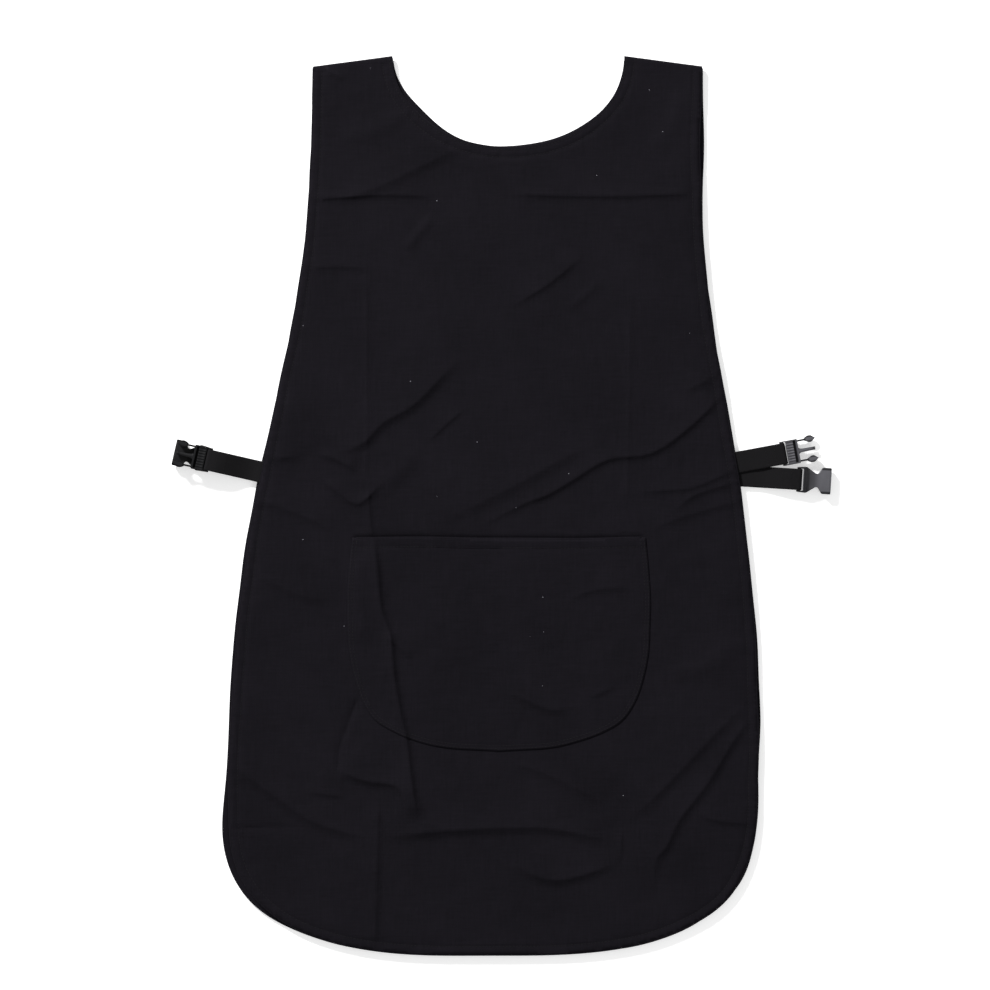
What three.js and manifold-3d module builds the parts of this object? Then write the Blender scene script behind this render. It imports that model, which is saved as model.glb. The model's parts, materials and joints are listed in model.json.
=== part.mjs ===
// A tabard apron laid flat: front and back panels joined at the shoulders, a patch pocket,
// and two webbing straps a side that end in side-release buckles.
// Millimetres, +Z up, +Y towards the neck, origin under the middle of the whole apron.
import * as THREE from "three";
import { mergeVertices } from "three/addons/utils/BufferGeometryUtils.js";
import Module from "manifold-3d";

const wasm = await Module();
wasm.setup();

// Panels
const clothThick = 0.8;
const hemThick = 1.2;
const layerGap = 0.3; // between pieces that lie on or beside each other
const shoulderY = 420; // inner ends of the shoulder seams, where the front folds over
const shoulderDrop = 10; // outer end of a shoulder below its inner end
const halfShoulder = 183;
const halfHem = 249; // at the widest point, just above the bottom corners
const hemY = -424;
const cornerHeight = 159; // the bottom curve starts this far above the hem
const cornerPower = 3; // 2 is an ellipse, more is squarer
const frontSkew = 0.02; // the panels lie slightly askew: sideways shift per unit of height
const frontShift = -3;
const hemWidth = 10;
const facingWidth = 10;

// Neckline
const neckHalfWidth = 109;
const neckDepth = 84;
const neckX = 6;

// Pocket
const pocketX = -3;
const pocketTopY = -31;
const pocketHalfTop = 138;
const pocketHalfWidest = 142;
const pocketWidestDrop = 85; // the widest point below the opening
const pocketDepth = 201;
const pocketHemWidth = 10;
const pocketHemThick = 0.6;
const pocketRise = 4; // run of the step from the pocket's face up onto its top hem

// Webbing
const webWidth = 20;
const webThick = 1.2;
const webTail = 15; // sewn back on itself behind the buckle
const rootDepth = 7; // how far a strap's end is sewn into the hem
const earlyRise = 6; // where a strap starts to rise to its buckle, from its fold line
const lateRise = 1.45 * webWidth; // the same for the right straps, where they have parted

// Buckles
const slotWidth = webWidth + 2 * layerGap;
const clipCheek = 1.2; // beside the slot
const socketCheek = 2.1;
const clipWidth = slotWidth + 2 * clipCheek;
const socketWidth = slotWidth + 2 * socketCheek;
const barRadius = 1.6;
const eyeClear = 0.3; // between the bar and the webbing's loop
const frameThick = 4.4; // of the clip frame, and of the socket at its slot
const slotClear = 0.5; // between the webbing's loop and the far side of the clip's slot
const socketSlotClear = 1; // the same in the socket
const socketNeck = 3.2; // thinner stretch of the socket past its slot
const beamEnd = 15; // front of the clip frame from its bar
const prongEnd = 30.6;
const prongHalf = 1.7;
const prongThick = 3;
const armEnd = 31.9;
const armWidth = 1.7;
const armThick = 4;
const armInset = 1.1; // outer face of an arm inside the frame's side
const headLength = 10.4; // the leaf-shaped head that catches in the socket's window
const headOut = 2.2; // how far the head stands out past its arm
const headIn = 2.2; // and in towards the prong
const ribCount = 7; // grip ribs across the frame, each along it
const ribHeight = 0.5;
const ribWidth = 1.2;
const ribLength = 6.5;
const socketLength = 30.2;
const socketThick = 7.6;
const socketWall = 1.3;
const socketBack = 9.5; // the cavity starts here, from the bar
const waistHalf = 5.9; // at the narrowest place between the side windows
const waistX = 17.3;
const mouthBlock = 8.4; // full-width stretch behind the mouth

// Where each strap leaves its panel's edge (height), its direction from straight out, and how
// far its buckle's bar is from the edge
const leftStrapY = 30.5;
const leftStrapTilt = 13;
const leftFrontReach = 49.6;
const leftBackReach = 53;
const rightBackY = 27;
const rightBackTilt = -3.5;
const rightBackReach = lateRise + 25.4;
const rightFrontY = rightBackY + 0.625 * webWidth;
const rightFrontTilt = 10.5;
const rightFrontReach = lateRise + 15.6;

// Heights of the layers, from the table up
const backBandZ = clothThick + layerGap;
const frontBandZ = backBandZ + hemThick + layerGap;
const frontZ = frontBandZ + hemThick + layerGap;
const frontTop = frontZ + clothThick;
const pocketZ = frontTop + layerGap;

const loopRadius = barRadius + eyeClear + webThick;
const slotEnd = loopRadius + slotClear;
const socketSlotEnd = loopRadius + socketSlotClear;
const loopGap = 0.1; // least between a loop and the table or the loop beneath it
const socketZ = Math.max(socketThick / 2 + layerGap, loopRadius + loopGap);
const clipOverSocketZ = socketThick + 2 * layerGap + frameThick / 2;
const stackedMaleZ = Math.max(clipOverSocketZ, socketZ + 2 * loopRadius + loopGap);
const looseMaleZ = Math.max(frontBandZ + webThick / 2, loopRadius + loopGap);

const cloth = { color: 0x1b191e, roughness: 0.92, metalness: 0 };
const webbing = { color: 0x18171a, roughness: 0.8, metalness: 0 };
const acetal = { color: 0x1d1d20, roughness: 0.38, metalness: 0 };

const apron = new THREE.Group();

function addMesh(name, geometry, finish, parent = apron) {
  const mesh = new THREE.Mesh(geometry, new THREE.MeshStandardMaterial(finish));
  mesh.name = name;
  parent.add(mesh);
  return mesh;
}

function toSolid(geometry) {
  const bare = geometry.clone();
  bare.deleteAttribute("normal");
  bare.deleteAttribute("uv");
  const merged = mergeVertices(bare, 1e-4);
  return new wasm.Manifold(
    new wasm.Mesh({
      numProp: 3,
      vertProperties: merged.attributes.position.array,
      triVerts: new Uint32Array(merged.index.array),
    }),
  );
}

function toGeometry(solid) {
  const mesh = solid.getMesh();
  const geometry = new THREE.BufferGeometry();
  geometry.setAttribute("position", new THREE.BufferAttribute(mesh.vertProperties, 3));
  geometry.setIndex(new THREE.BufferAttribute(mesh.triVerts, 1));
  const flat = geometry.toNonIndexed();
  flat.computeVertexNormals();
  return flat;
}

// A flat plate of a plan outline, from height z upwards
function plate(points, z, thick, hole) {
  const shape = new THREE.Shape(points);
  if (hole) shape.holes.push(new THREE.Path(hole));
  const geometry = new THREE.ExtrudeGeometry(shape, { depth: thick, bevelEnabled: false });
  return geometry.translate(0, 0, z);
}

function box(x0, x1, y0, y1, z0, z1) {
  const geometry = new THREE.BoxGeometry(x1 - x0, y1 - y0, z1 - z0);
  return geometry.translate((x0 + x1) / 2, (y0 + y1) / 2, (z0 + z1) / 2);
}

// Half width of a panel at height y, from its middle line
const widestY = hemY + cornerHeight;
const flareCurve = new THREE.SplineCurve(
  // down the side from the shoulder: share of the way to the widest point, share of the flare
  [
    [0, 0], [0.163, 0.01], [0.311, 0.15], [0.459, 0.42],
    [0.605, 0.7], [0.754, 0.88], [0.902, 0.98], [1, 1],
  ].map(([down, flare]) => new THREE.Vector2(down, flare)),
);
const flareSteps = flareCurve.getPoints(60);

function halfWidthAt(y) {
  if (y < widestY) {
    const drop = Math.min(1, (widestY - y) / cornerHeight);
    return halfHem * Math.pow(1 - Math.pow(drop, cornerPower), 1 / cornerPower);
  }
  const down = (shoulderY - shoulderDrop - y) / (shoulderY - shoulderDrop - widestY);
  const next = Math.max(1, flareSteps.findIndex((p) => p.x >= down));
  const [a, b] = [flareSteps[next - 1], flareSteps[next]];
  const flare = a.y + ((b.y - a.y) * (down - a.x)) / (b.x - a.x);
  return halfShoulder + (halfHem - halfShoulder) * Math.max(0, flare);
}

const middleAt = (y) => frontShift + frontSkew * y;

// One side of a panel, from the outer end of the shoulder to the middle of the hem
function sideLine(side, inset = 0) {
  const points = [];
  const top = shoulderY - shoulderDrop - layerGap;
  const sideSteps = 26;
  for (let i = 0; i <= sideSteps; i++) {
    const y = top + ((widestY - top) * i) / sideSteps;
    points.push(new THREE.Vector2(middleAt(y) + side * (halfWidthAt(y) - inset), y));
  }
  const cornerSteps = 22;
  for (let i = 1; i <= cornerSteps; i++) {
    const turn = (Math.PI / 2) * (i / cornerSteps);
    const x = (halfHem - inset) * Math.pow(Math.cos(turn), 2 / cornerPower);
    const drop = (cornerHeight - inset) * Math.pow(Math.sin(turn), 2 / cornerPower);
    const y = widestY - drop;
    points.push(new THREE.Vector2(middleAt(y) + (i === cornerSteps ? 0 : side * x), y));
  }
  return points;
}

// The neckline, from its right end to its left end
function neckLine(grow = 0) {
  const points = [];
  const steps = 28;
  for (let i = 0; i <= steps; i++) {
    const turn = (Math.PI * i) / steps;
    const x = neckX + (neckHalfWidth + grow) * Math.cos(turn);
    points.push(new THREE.Vector2(x, shoulderY - (neckDepth + grow) * Math.sin(turn)));
  }
  return points;
}

const panelOutline = [
  ...sideLine(-1),
  ...sideLine(1).slice(0, -1).reverse(),
  ...neckLine(),
];

// Each strap: where it starts, which way it points in plan, and the layer it is sewn into
function strapPlace(side, y, tilt, band) {
  const lean = THREE.MathUtils.degToRad(tilt);
  const heading = side > 0 ? lean : Math.PI - lean;
  const along = new THREE.Vector2(Math.cos(heading), Math.sin(heading));
  const across = new THREE.Vector2(-along.y, along.x);
  // the furthest that the panel's edge reaches along the strap, within the strap's width
  let reach = -Infinity;
  const foot = new THREE.Vector2(middleAt(y) + side * halfWidthAt(y), y);
  for (let i = -4; i <= 4; i++) {
    const edgeY = y + (i / 4) * (webWidth / 2 + layerGap);
    const edge = new THREE.Vector2(middleAt(edgeY) + side * halfWidthAt(edgeY), edgeY);
    reach = Math.max(reach, edge.sub(foot).dot(along));
  }
  return { origin: foot.addScaledVector(along, reach), along, across, heading, band };
}

// A group whose X runs along the strap, Y across it, Z up, with its origin on the fold line
function strapGroup(place) {
  const group = new THREE.Group();
  group.position.set(place.origin.x, place.origin.y, 0);
  group.rotation.z = place.heading;
  apron.add(group);
  return group;
}

const places = {
  leftFront: strapPlace(-1, leftStrapY, leftStrapTilt, frontBandZ),
  leftBack: strapPlace(-1, leftStrapY, leftStrapTilt, backBandZ),
  rightFront: strapPlace(1, rightFrontY, rightFrontTilt, frontBandZ),
  rightBack: strapPlace(1, rightBackY, rightBackTilt, backBandZ),
};

function placed(geometry, place) {
  return geometry.rotateZ(place.heading).translate(place.origin.x, place.origin.y, 0);
}

// The pocket each strap's end fills in the hem
function notchFor(place) {
  const half = webWidth / 2 + layerGap;
  const z = place.band;
  const pocket = box(-rootDepth - layerGap, hemWidth, -half, half, z - 1, z + hemThick + 1);
  return toSolid(placed(pocket, place));
}

// Hem bands: down one side, round the bottom and up the other
function addHem(name, z, strapPlaces) {
  const outer = [...sideLine(-1), ...sideLine(1).slice(0, -1).reverse()];
  const inner = [...sideLine(-1, hemWidth), ...sideLine(1, hemWidth).slice(0, -1).reverse()];
  let band = toSolid(plate([...outer, ...inner.reverse()], z, hemThick));
  for (const place of strapPlaces) band = band.subtract(notchFor(place));
  addMesh(name, toGeometry(band), cloth);
}

function addFacing(name, z) {
  addMesh(name, plate([...neckLine(), ...neckLine(facingWidth).reverse()], z, hemThick), cloth);
}

// Panels, from the table up
addMesh("back_panel", plate(panelOutline, 0, clothThick), cloth);
addHem("back_hem", backBandZ, [places.leftBack, places.rightBack]);
addFacing("back_neck_facing", backBandZ);
addHem("front_hem", frontBandZ, [places.leftFront, places.rightFront]);
addFacing("front_neck_facing", frontBandZ);
addMesh("front_panel", plate(panelOutline, frontZ, clothThick), cloth);

// Shoulder seam allowances, pressed to the back panel between its side hem and neck facing
for (const [name, side] of [["left_shoulder_seam", -1], ["right_shoulder_seam", 1]]) {
  const outerMiddle = middleAt(shoulderY - shoulderDrop);
  const outerX = outerMiddle + side * (halfShoulder - hemWidth - 2 * layerGap);
  const innerX = neckX + side * (neckHalfWidth + facingWidth + layerGap);
  const neckEnd = neckX + side * neckHalfWidth;
  const slope = shoulderDrop / Math.abs(middleAt(shoulderY) + side * halfShoulder - neckEnd);
  const lineY = (x) => shoulderY - slope * Math.abs(x - neckEnd) - layerGap;
  const corners = [
    new THREE.Vector2(innerX, lineY(innerX)),
    new THREE.Vector2(outerX, lineY(outerX)),
    new THREE.Vector2(outerX, lineY(outerX) - hemWidth),
    new THREE.Vector2(innerX, lineY(innerX) - hemWidth),
  ];
  addMesh(name, plate(side > 0 ? corners.reverse() : corners, backBandZ, hemThick), cloth);
}

// Pocket: a flat patch with a round bottom, stepped up over its turned top hem
const pocketCurve = new THREE.SplineCurve(
  // share of the half width, share of the depth, from the top corner to the bottom middle
  [
    [0.97, 0], [1, 0.2], [1, pocketWidestDrop / pocketDepth], [0.965, 0.64], [0.86, 0.82],
    [0.7, 0.905], [0.42, 0.975], [0, 1],
  ].map(([x, y]) => new THREE.Vector2(x, y)),
);

function pocketLine() {
  const half = pocketCurve.getPoints(40);
  const at = (p, side) => new THREE.Vector2(
    pocketX + side * p.x * pocketHalfWidest,
    pocketTopY - p.y * pocketDepth,
  );
  return [...half.map((p) => at(p, -1)), ...half.slice(0, -1).reverse().map((p) => at(p, 1))];
}

const pocketLift = pocketHemThick + layerGap;
const stepProfile = [
  [pocketTopY - pocketDepth - 1, 0],
  [pocketTopY - pocketHemWidth - pocketRise, 0],
  [pocketTopY - pocketHemWidth - layerGap, pocketLift],
  [pocketTopY + 1, pocketLift],
];
const stepPoints = [
  ...stepProfile.map(([y, z]) => new THREE.Vector2(y, pocketZ + z)),
  ...stepProfile.map(([y, z]) => new THREE.Vector2(y, pocketZ + z + clothThick)).reverse(),
];
const pocketSlab = new THREE.ExtrudeGeometry(new THREE.Shape(stepPoints), {
  depth: 2 * (pocketHalfWidest + 5),
  bevelEnabled: false,
});
// the profile is drawn as (y, z) and swept along x
pocketSlab.rotateX(Math.PI / 2).rotateZ(Math.PI / 2).translate(pocketX - pocketHalfWidest - 5, 0, 0);
const pocketPrism = plate(pocketLine(), 0, 2 * pocketZ + 10);
addMesh("pocket", toGeometry(toSolid(pocketSlab).intersect(toSolid(pocketPrism))), cloth);

const hemInset = 1;
addMesh(
  "pocket_hem",
  box(
    pocketX - pocketHalfTop + 2 * hemInset, pocketX + pocketHalfTop - 2 * hemInset,
    pocketTopY - pocketHemWidth, pocketTopY - hemInset,
    pocketZ, pocketZ + pocketHemThick,
  ),
  cloth,
);

// A strap's sewn end, flat in the hem
function addRoot(name, place) {
  const half = webWidth / 2;
  const end = box(-rootDepth, 0, -half, half, place.band, place.band + webThick);
  addMesh(name, end, webbing, strapGroup(place));
}

// A free strap: a strip from its fold line to the buckle, round the bar and sewn back on itself
function addStrap(name, place, reach, barZ, tailSide, riseStart) {
  const startU = layerGap;
  const startZ = place.band + webThick / 2;
  const eased = (t) => t * t * (3 - 2 * t);
  const riseEnd = reach - loopRadius - 2;
  const zAt = (u) => {
    const t = THREE.MathUtils.clamp((u - riseStart) / (riseEnd - riseStart), 0, 1);
    return startZ + (barZ - tailSide * (loopRadius - webThick / 2) - startZ) * eased(t);
  };
  const steps = 12; // the strip meets the loop on the side away from the tail
  const face = [];
  const back = [];
  for (let i = 0; i <= steps; i++) {
    const u = startU + ((reach - startU) * i) / steps;
    face.push(new THREE.Vector2(u, zAt(u) - (tailSide * webThick) / 2));
    back.push(new THREE.Vector2(u, zAt(u) + (tailSide * webThick) / 2));
  }
  // round the outside of the loop, then back along the tail to its cut end
  const arc = [];
  const arcSteps = 14;
  const tailTurn = 1.25 * Math.PI; // the tail leaves the loop here and closes onto the strip
  for (let i = 1; i <= arcSteps; i++) {
    const turn = -Math.PI / 2 + (tailTurn * i) / arcSteps;
    const z = barZ + tailSide * loopRadius * Math.sin(turn);
    arc.push(new THREE.Vector2(reach + loopRadius * Math.cos(turn), z));
  }
  const tailStart = reach - loopRadius - webTail;
  const tailNear = reach - 2 * loopRadius;
  const lap = (u) => new THREE.Vector2(u, zAt(u) + tailSide * 1.5 * webThick);
  const tail = [lap(tailNear), lap((tailNear + tailStart) / 2), lap(tailStart)];
  const keptBack = back.filter((p) => p.x < tailStart - 0.5);
  const joint = new THREE.Vector2(tailStart, zAt(tailStart) + (tailSide * webThick) / 2);
  const outline = [...face, ...arc, ...tail, joint, ...keptBack.reverse()];
  const hole = [];
  const holeSteps = 20;
  for (let i = 0; i < holeSteps; i++) {
    const turn = (2 * Math.PI * i) / holeSteps;
    const radius = loopRadius - webThick;
    hole.push(new THREE.Vector2(reach + radius * Math.cos(turn), barZ + radius * Math.sin(turn)));
  }
  const shape = new THREE.Shape(outline);
  shape.holes.push(new THREE.Path(hole));
  const geometry = new THREE.ExtrudeGeometry(shape, { depth: webWidth, bevelEnabled: false });
  // drawn as (along, up) and swept across the strap
  geometry.rotateX(Math.PI / 2).translate(0, webWidth / 2, 0);
  addMesh(name, geometry, webbing, strapGroup(place));
}

// A group at a buckle's bar: X towards its mouth or prongs, Z up
function buckleGroup(place, barU, barZ) {
  const group = new THREE.Group();
  group.position.set(barU, 0, barZ);
  strapGroup(place).add(group);
  return group;
}

function bar() {
  const geometry = new THREE.CylinderGeometry(barRadius, barRadius, slotWidth + 1, 20);
  return toSolid(geometry);
}

// The slot that the webbing passes through, open behind the bar's far side
function webSlot(end) {
  return toSolid(box(buckleBack - 1, end, -slotWidth / 2, slotWidth / 2, -socketThick, socketThick));
}

const buckleBack = -barRadius - 0.4;
const halfClip = clipWidth / 2;
const halfSocket = socketWidth / 2;

// Male half: bar and cheeks, ribbed beam and centre prong
function addClipFrame(name, place, barU, barZ) {
  const half = frameThick / 2;
  const round = 1;
  const frame = new THREE.Shape();
  frame.moveTo(buckleBack + round, -halfClip);
  frame.lineTo(beamEnd - round, -halfClip);
  frame.quadraticCurveTo(beamEnd, -halfClip, beamEnd, -halfClip + round);
  frame.lineTo(beamEnd, halfClip - round);
  frame.quadraticCurveTo(beamEnd, halfClip, beamEnd - round, halfClip);
  frame.lineTo(buckleBack + round, halfClip);
  frame.quadraticCurveTo(buckleBack, halfClip, buckleBack, halfClip - round);
  frame.lineTo(buckleBack, -halfClip + round);
  frame.quadraticCurveTo(buckleBack, -halfClip, buckleBack + round, -halfClip);
  let solid = toSolid(plate(frame.getPoints(4), -half, frameThick));
  solid = solid.subtract(webSlot(slotEnd)).add(bar());
  const prong = box(beamEnd - 1, prongEnd, -prongHalf, prongHalf, -prongThick / 2, prongThick / 2);
  solid = solid.add(toSolid(prong));
  const ribStart = slotEnd + 0.8;
  const ribPitch = (clipWidth - 5) / ribCount;
  for (let i = 0; i < ribCount; i++) {
    const v = (i - (ribCount - 1) / 2) * ribPitch;
    const [low, high] = [v - ribWidth / 2, v + ribWidth / 2];
    const rib = box(ribStart, ribStart + ribLength, low, high, half - 1, half + ribHeight);
    solid = solid.add(toSolid(rib));
  }
  addMesh(name, toGeometry(solid), acetal, buckleGroup(place, barU, barZ));
}

// A spring arm with its leaf-shaped head, starting just clear of the beam; side is +1 or -1
// across the strap
function addArm(name, place, barU, barZ, side) {
  const outer = halfClip - armInset;
  const inner = outer - armWidth;
  const middle = (inner + outer) / 2;
  const start = beamEnd + layerGap;
  const headStart = armEnd - headLength;
  const headAt = (share) => headStart + share * headLength;
  const outline = new THREE.Shape();
  outline.moveTo(start, inner);
  outline.lineTo(headStart, inner);
  outline.quadraticCurveTo(headAt(0.35), inner - headIn, headAt(0.6), inner - headIn);
  outline.quadraticCurveTo(armEnd - 1, inner - headIn + 0.6, armEnd, middle - 0.5);
  outline.lineTo(armEnd, middle + 0.5);
  outline.quadraticCurveTo(armEnd - 1, outer + headOut - 0.4, headAt(0.55), outer + headOut);
  outline.quadraticCurveTo(headAt(0.15), outer + headOut, headStart, outer);
  outline.lineTo(start, outer);
  const geometry = plate(outline.getPoints(6), -armThick / 2, armThick);
  if (side < 0) geometry.rotateX(Math.PI);
  addMesh(name, geometry, acetal, buckleGroup(place, barU, barZ));
}

// Female half: bar and cheeks, then a flat shell open at its mouth and at both side windows
function addSocket(name, place, barU, barZ) {
  const half = socketThick / 2;
  const flareX = socketLength - mouthBlock;
  const outline = new THREE.Shape();
  outline.moveTo(buckleBack, -halfSocket + 1.7);
  outline.quadraticCurveTo(buckleBack, -halfSocket + 0.7, buckleBack + 1, -halfSocket + 0.7);
  const taperX = socketSlotEnd + 1.5;
  outline.lineTo(taperX, -halfSocket + 0.2);
  outline.quadraticCurveTo(taperX + 1.5, -halfSocket, taperX + 2.9, -halfSocket + 1.2);
  outline.lineTo(waistX - 2, -waistHalf - 0.7);
  outline.quadraticCurveTo(waistX, -waistHalf, waistX + 1.2, -waistHalf - 0.9);
  outline.lineTo(flareX - 0.4, -halfSocket + 1);
  outline.quadraticCurveTo(flareX, -halfSocket, flareX + 1, -halfSocket);
  outline.lineTo(socketLength - 0.8, -halfSocket);
  outline.quadraticCurveTo(socketLength, -halfSocket, socketLength, -halfSocket + 0.8);
  const lower = outline.getPoints(5);
  const upper = lower.map((p) => new THREE.Vector2(p.x, -p.y)).reverse();
  let solid = toSolid(plate([...lower, ...upper], -half, socketThick));
  const cavityHalf = halfSocket - socketWall;
  const cavity = box(
    socketBack, socketLength + 1, -cavityHalf, cavityHalf, -half + socketWall, half - socketWall,
  );
  solid = solid.subtract(webSlot(socketSlotEnd)).subtract(toSolid(cavity)).add(bar());
  // the slot end of the shell is thinned to the clip frame's thickness
  for (const [low, high] of [[frameThick / 2, half + 1], [-half - 1, -frameThick / 2]]) {
    const cut = box(buckleBack - 1, socketSlotEnd + socketNeck, -halfSocket - 1, halfSocket + 1, low, high);
    solid = solid.subtract(toSolid(cut));
  }
  addMesh(name, toGeometry(solid), acetal, buckleGroup(place, barU, barZ));
}

for (const [name, place] of [
  ["left_back_strap_end", places.leftBack],
  ["right_back_strap_end", places.rightBack],
  ["left_front_strap_end", places.leftFront],
  ["right_front_strap_end", places.rightFront],
])
  addRoot(name, place);

addStrap("left_back_strap", places.leftBack, leftBackReach, socketZ, -1, earlyRise);
addStrap("right_back_strap", places.rightBack, rightBackReach, socketZ, -1, lateRise);
addStrap("left_front_strap", places.leftFront, leftFrontReach, stackedMaleZ, 1, earlyRise);
addStrap("right_front_strap", places.rightFront, rightFrontReach, looseMaleZ, 1, lateRise);

addSocket("left_socket", places.leftBack, leftBackReach, socketZ);
addSocket("right_socket", places.rightBack, rightBackReach, socketZ);

for (const [label, place, reach, z] of [
  ["left", places.leftFront, leftFrontReach, stackedMaleZ],
  ["right", places.rightFront, rightFrontReach, looseMaleZ],
]) {
  addClipFrame(`${label}_clip_frame`, place, reach, z);
  addArm(`${label}_clip_upper_arm`, place, reach, z, label === "left" ? -1 : 1);
  addArm(`${label}_clip_lower_arm`, place, reach, z, label === "left" ? 1 : -1);
}

export default apron;
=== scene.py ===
import json
import math
import bmesh
import bpy
import numpy as np
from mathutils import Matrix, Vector, kdtree
from mathutils.geometry import delaunay_2d_cdt


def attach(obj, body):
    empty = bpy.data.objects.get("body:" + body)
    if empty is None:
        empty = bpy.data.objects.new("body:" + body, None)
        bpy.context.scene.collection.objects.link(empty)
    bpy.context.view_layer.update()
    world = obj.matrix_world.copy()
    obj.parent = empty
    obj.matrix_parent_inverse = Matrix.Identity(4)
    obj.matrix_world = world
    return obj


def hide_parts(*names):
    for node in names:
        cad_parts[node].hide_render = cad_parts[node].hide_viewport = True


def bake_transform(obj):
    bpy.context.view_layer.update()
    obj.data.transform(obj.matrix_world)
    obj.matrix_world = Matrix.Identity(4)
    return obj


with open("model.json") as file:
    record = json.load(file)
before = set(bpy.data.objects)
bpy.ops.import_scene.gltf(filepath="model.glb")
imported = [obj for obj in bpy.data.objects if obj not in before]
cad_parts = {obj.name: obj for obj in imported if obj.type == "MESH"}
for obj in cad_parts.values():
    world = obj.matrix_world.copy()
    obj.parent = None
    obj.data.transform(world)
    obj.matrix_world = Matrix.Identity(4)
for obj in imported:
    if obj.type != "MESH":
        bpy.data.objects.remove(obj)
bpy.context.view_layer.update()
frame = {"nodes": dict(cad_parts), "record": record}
scene = bpy.context.scene
scene.view_settings.view_transform = "Standard"
mm = 0.001  # every size below is in millimetres, and meshes are in metres
print("stage: frame loaded")


# helpers for shapes

def smooth(t):
    t = np.clip(t, 0.0, 1.0)
    return t * t * (3 - 2 * t)


def resample(points, step, closed=False):
    pts = np.asarray(points, float)
    if closed:
        pts = np.vstack([pts, pts[:1]])
    run = np.concatenate([[0], np.cumsum(np.linalg.norm(np.diff(pts, axis=0), axis=1))])
    count = max(2, int(round(run[-1] / step)) + 1)
    at = np.linspace(0, run[-1], count)
    out = np.stack([np.interp(at, run, pts[:, k]) for k in range(pts.shape[1])], axis=1)
    return out[:-1] if closed else out


def easedEnds(run, count):
    # 0 at both ends of a run and 1 once so many points away from them
    at = np.arange(len(run))
    return smooth(np.minimum(at, at[::-1]) / count)


def normalsOf(points):
    # unit vectors to the left of an open run of plan points
    step = np.gradient(points[:, :2], axis=0)
    step /= np.linalg.norm(step, axis=1)[:, None]
    return np.stack([-step[:, 1], step[:, 0]], axis=1)


def treeOf(points):
    tree = kdtree.KDTree(len(points))
    for i, p in enumerate(points):
        tree.insert((p[0], p[1], 0), i)
    tree.balance()
    return tree


def distanceTo(tree, x, y):
    return np.array([tree.find((a, b, 0))[2] for a, b in zip(x, y)])


def insideOf(outline, x, y):
    inside = np.zeros(len(x), bool)
    ends = np.roll(outline, -1, axis=0)
    for (ax, ay), (bx, by) in zip(outline, ends):
        if ay == by:
            continue
        crosses = (ay > y) != (by > y)
        inside ^= crosses & (x < (bx - ax) * (y - ay) / (by - ay) + ax)
    return inside


def waves(x, y, seed, length, count=7):
    # a smooth random swell about 1 high, as a sum of ripples in mixed directions
    rng = np.random.default_rng(seed)
    total = np.zeros_like(x, dtype=float)
    for _ in range(count):
        turn, phase = rng.uniform(0, 2 * math.pi, 2)
        k = 2 * math.pi / (length * rng.uniform(0.65, 1.6))
        total += np.sin(k * (x * math.cos(turn) + y * math.sin(turn)) + phase)
    return total / math.sqrt(count)


def foldAt(x, y, line, height, width, kind, fade):
    # height of one fold in the cloth, whose crest follows a line; the left of it is positive
    pts = line
    spans = np.linalg.norm(np.diff(pts, axis=0), axis=1)
    starts = np.concatenate([[0], np.cumsum(spans)])
    best = np.full(len(x), 1e9)
    signed = np.zeros(len(x))
    along = np.zeros(len(x))
    for (a, b, span, start) in zip(pts[:-1], pts[1:], spans, starts):
        d = (b - a) / span
        t = np.clip((x - a[0]) * d[0] + (y - a[1]) * d[1], 0, span)
        gx, gy = x - a[0] - t * d[0], y - a[1] - t * d[1]
        gap = np.hypot(gx, gy)
        near = gap < best
        best = np.where(near, gap, best)
        signed = np.where(near, np.sign(d[0] * gy - d[1] * gx) * gap, signed)
        along = np.where(near, start + t, along)
    share = along / starts[-1]
    ends = smooth(share / fade) * smooth((1 - share) / fade)
    if kind == "ridge":
        form = np.exp(-((signed / width) ** 2))
    elif kind == "crease":
        form = np.exp(-np.abs(signed) / width)
    else:  # a lapped fold: a long slope on the left and a short drop on the right
        form = np.where(
            signed > 0, np.exp(-signed / (3 * width)), np.exp(-((signed / (0.65 * width)) ** 2))
        )
    return height * form * ends


def newObject(name, mesh, material):
    obj = bpy.data.objects.new(name, mesh)
    scene.collection.objects.link(obj)
    mesh.materials.append(material)
    return obj


def meshFrom(name, verts, faces, material, flat=()):
    mesh = bpy.data.meshes.new(name)
    mesh.from_pydata((np.asarray(verts) * mm).tolist(), [], [list(f) for f in faces])
    mesh.update()
    mesh.shade_smooth()
    if len(flat):
        sharp = np.zeros(len(mesh.polygons), bool)
        sharp[list(flat)] = True
        mesh.polygons.foreach_set("use_smooth", ~sharp)
    return newObject(name, mesh, material)


def cutCloth(outline, guides, spacing):
    # an even triangle net over a closed outline, with the guide runs as edges in it
    tree = treeOf(np.vstack([resample(outline, 1, True)] + [resample(g, 1) for g in guides]))
    low, high = outline.min(0), outline.max(0)
    rows = np.arange(low[1], high[1], spacing * 0.866)
    px, py = [], []
    for i, y in enumerate(rows):
        row = np.arange(low[0] + (spacing / 2 if i % 2 else 0), high[0], spacing)
        px.append(row)
        py.append(np.full(len(row), y))
    px, py = np.concatenate(px), np.concatenate(py)
    keep = insideOf(outline, px, py)
    px, py = px[keep], py[keep]
    far = distanceTo(tree, px, py) > spacing * 0.5
    loose = np.stack([px[far], py[far]], axis=1)
    coords = [Vector(p) for p in outline.tolist()]
    edges = []
    for guide in guides:
        first = len(coords)
        coords += [Vector(p) for p in guide.tolist()]
        edges += [(first + i, first + i + 1) for i in range(len(guide) - 1)]
    coords += [Vector(p) for p in loose.tolist()]
    made = delaunay_2d_cdt(coords, edges, [list(range(len(outline)))], 1, 1e-5)
    return np.array([(v.x, v.y) for v in made[0]]), np.array(made[2])


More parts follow.
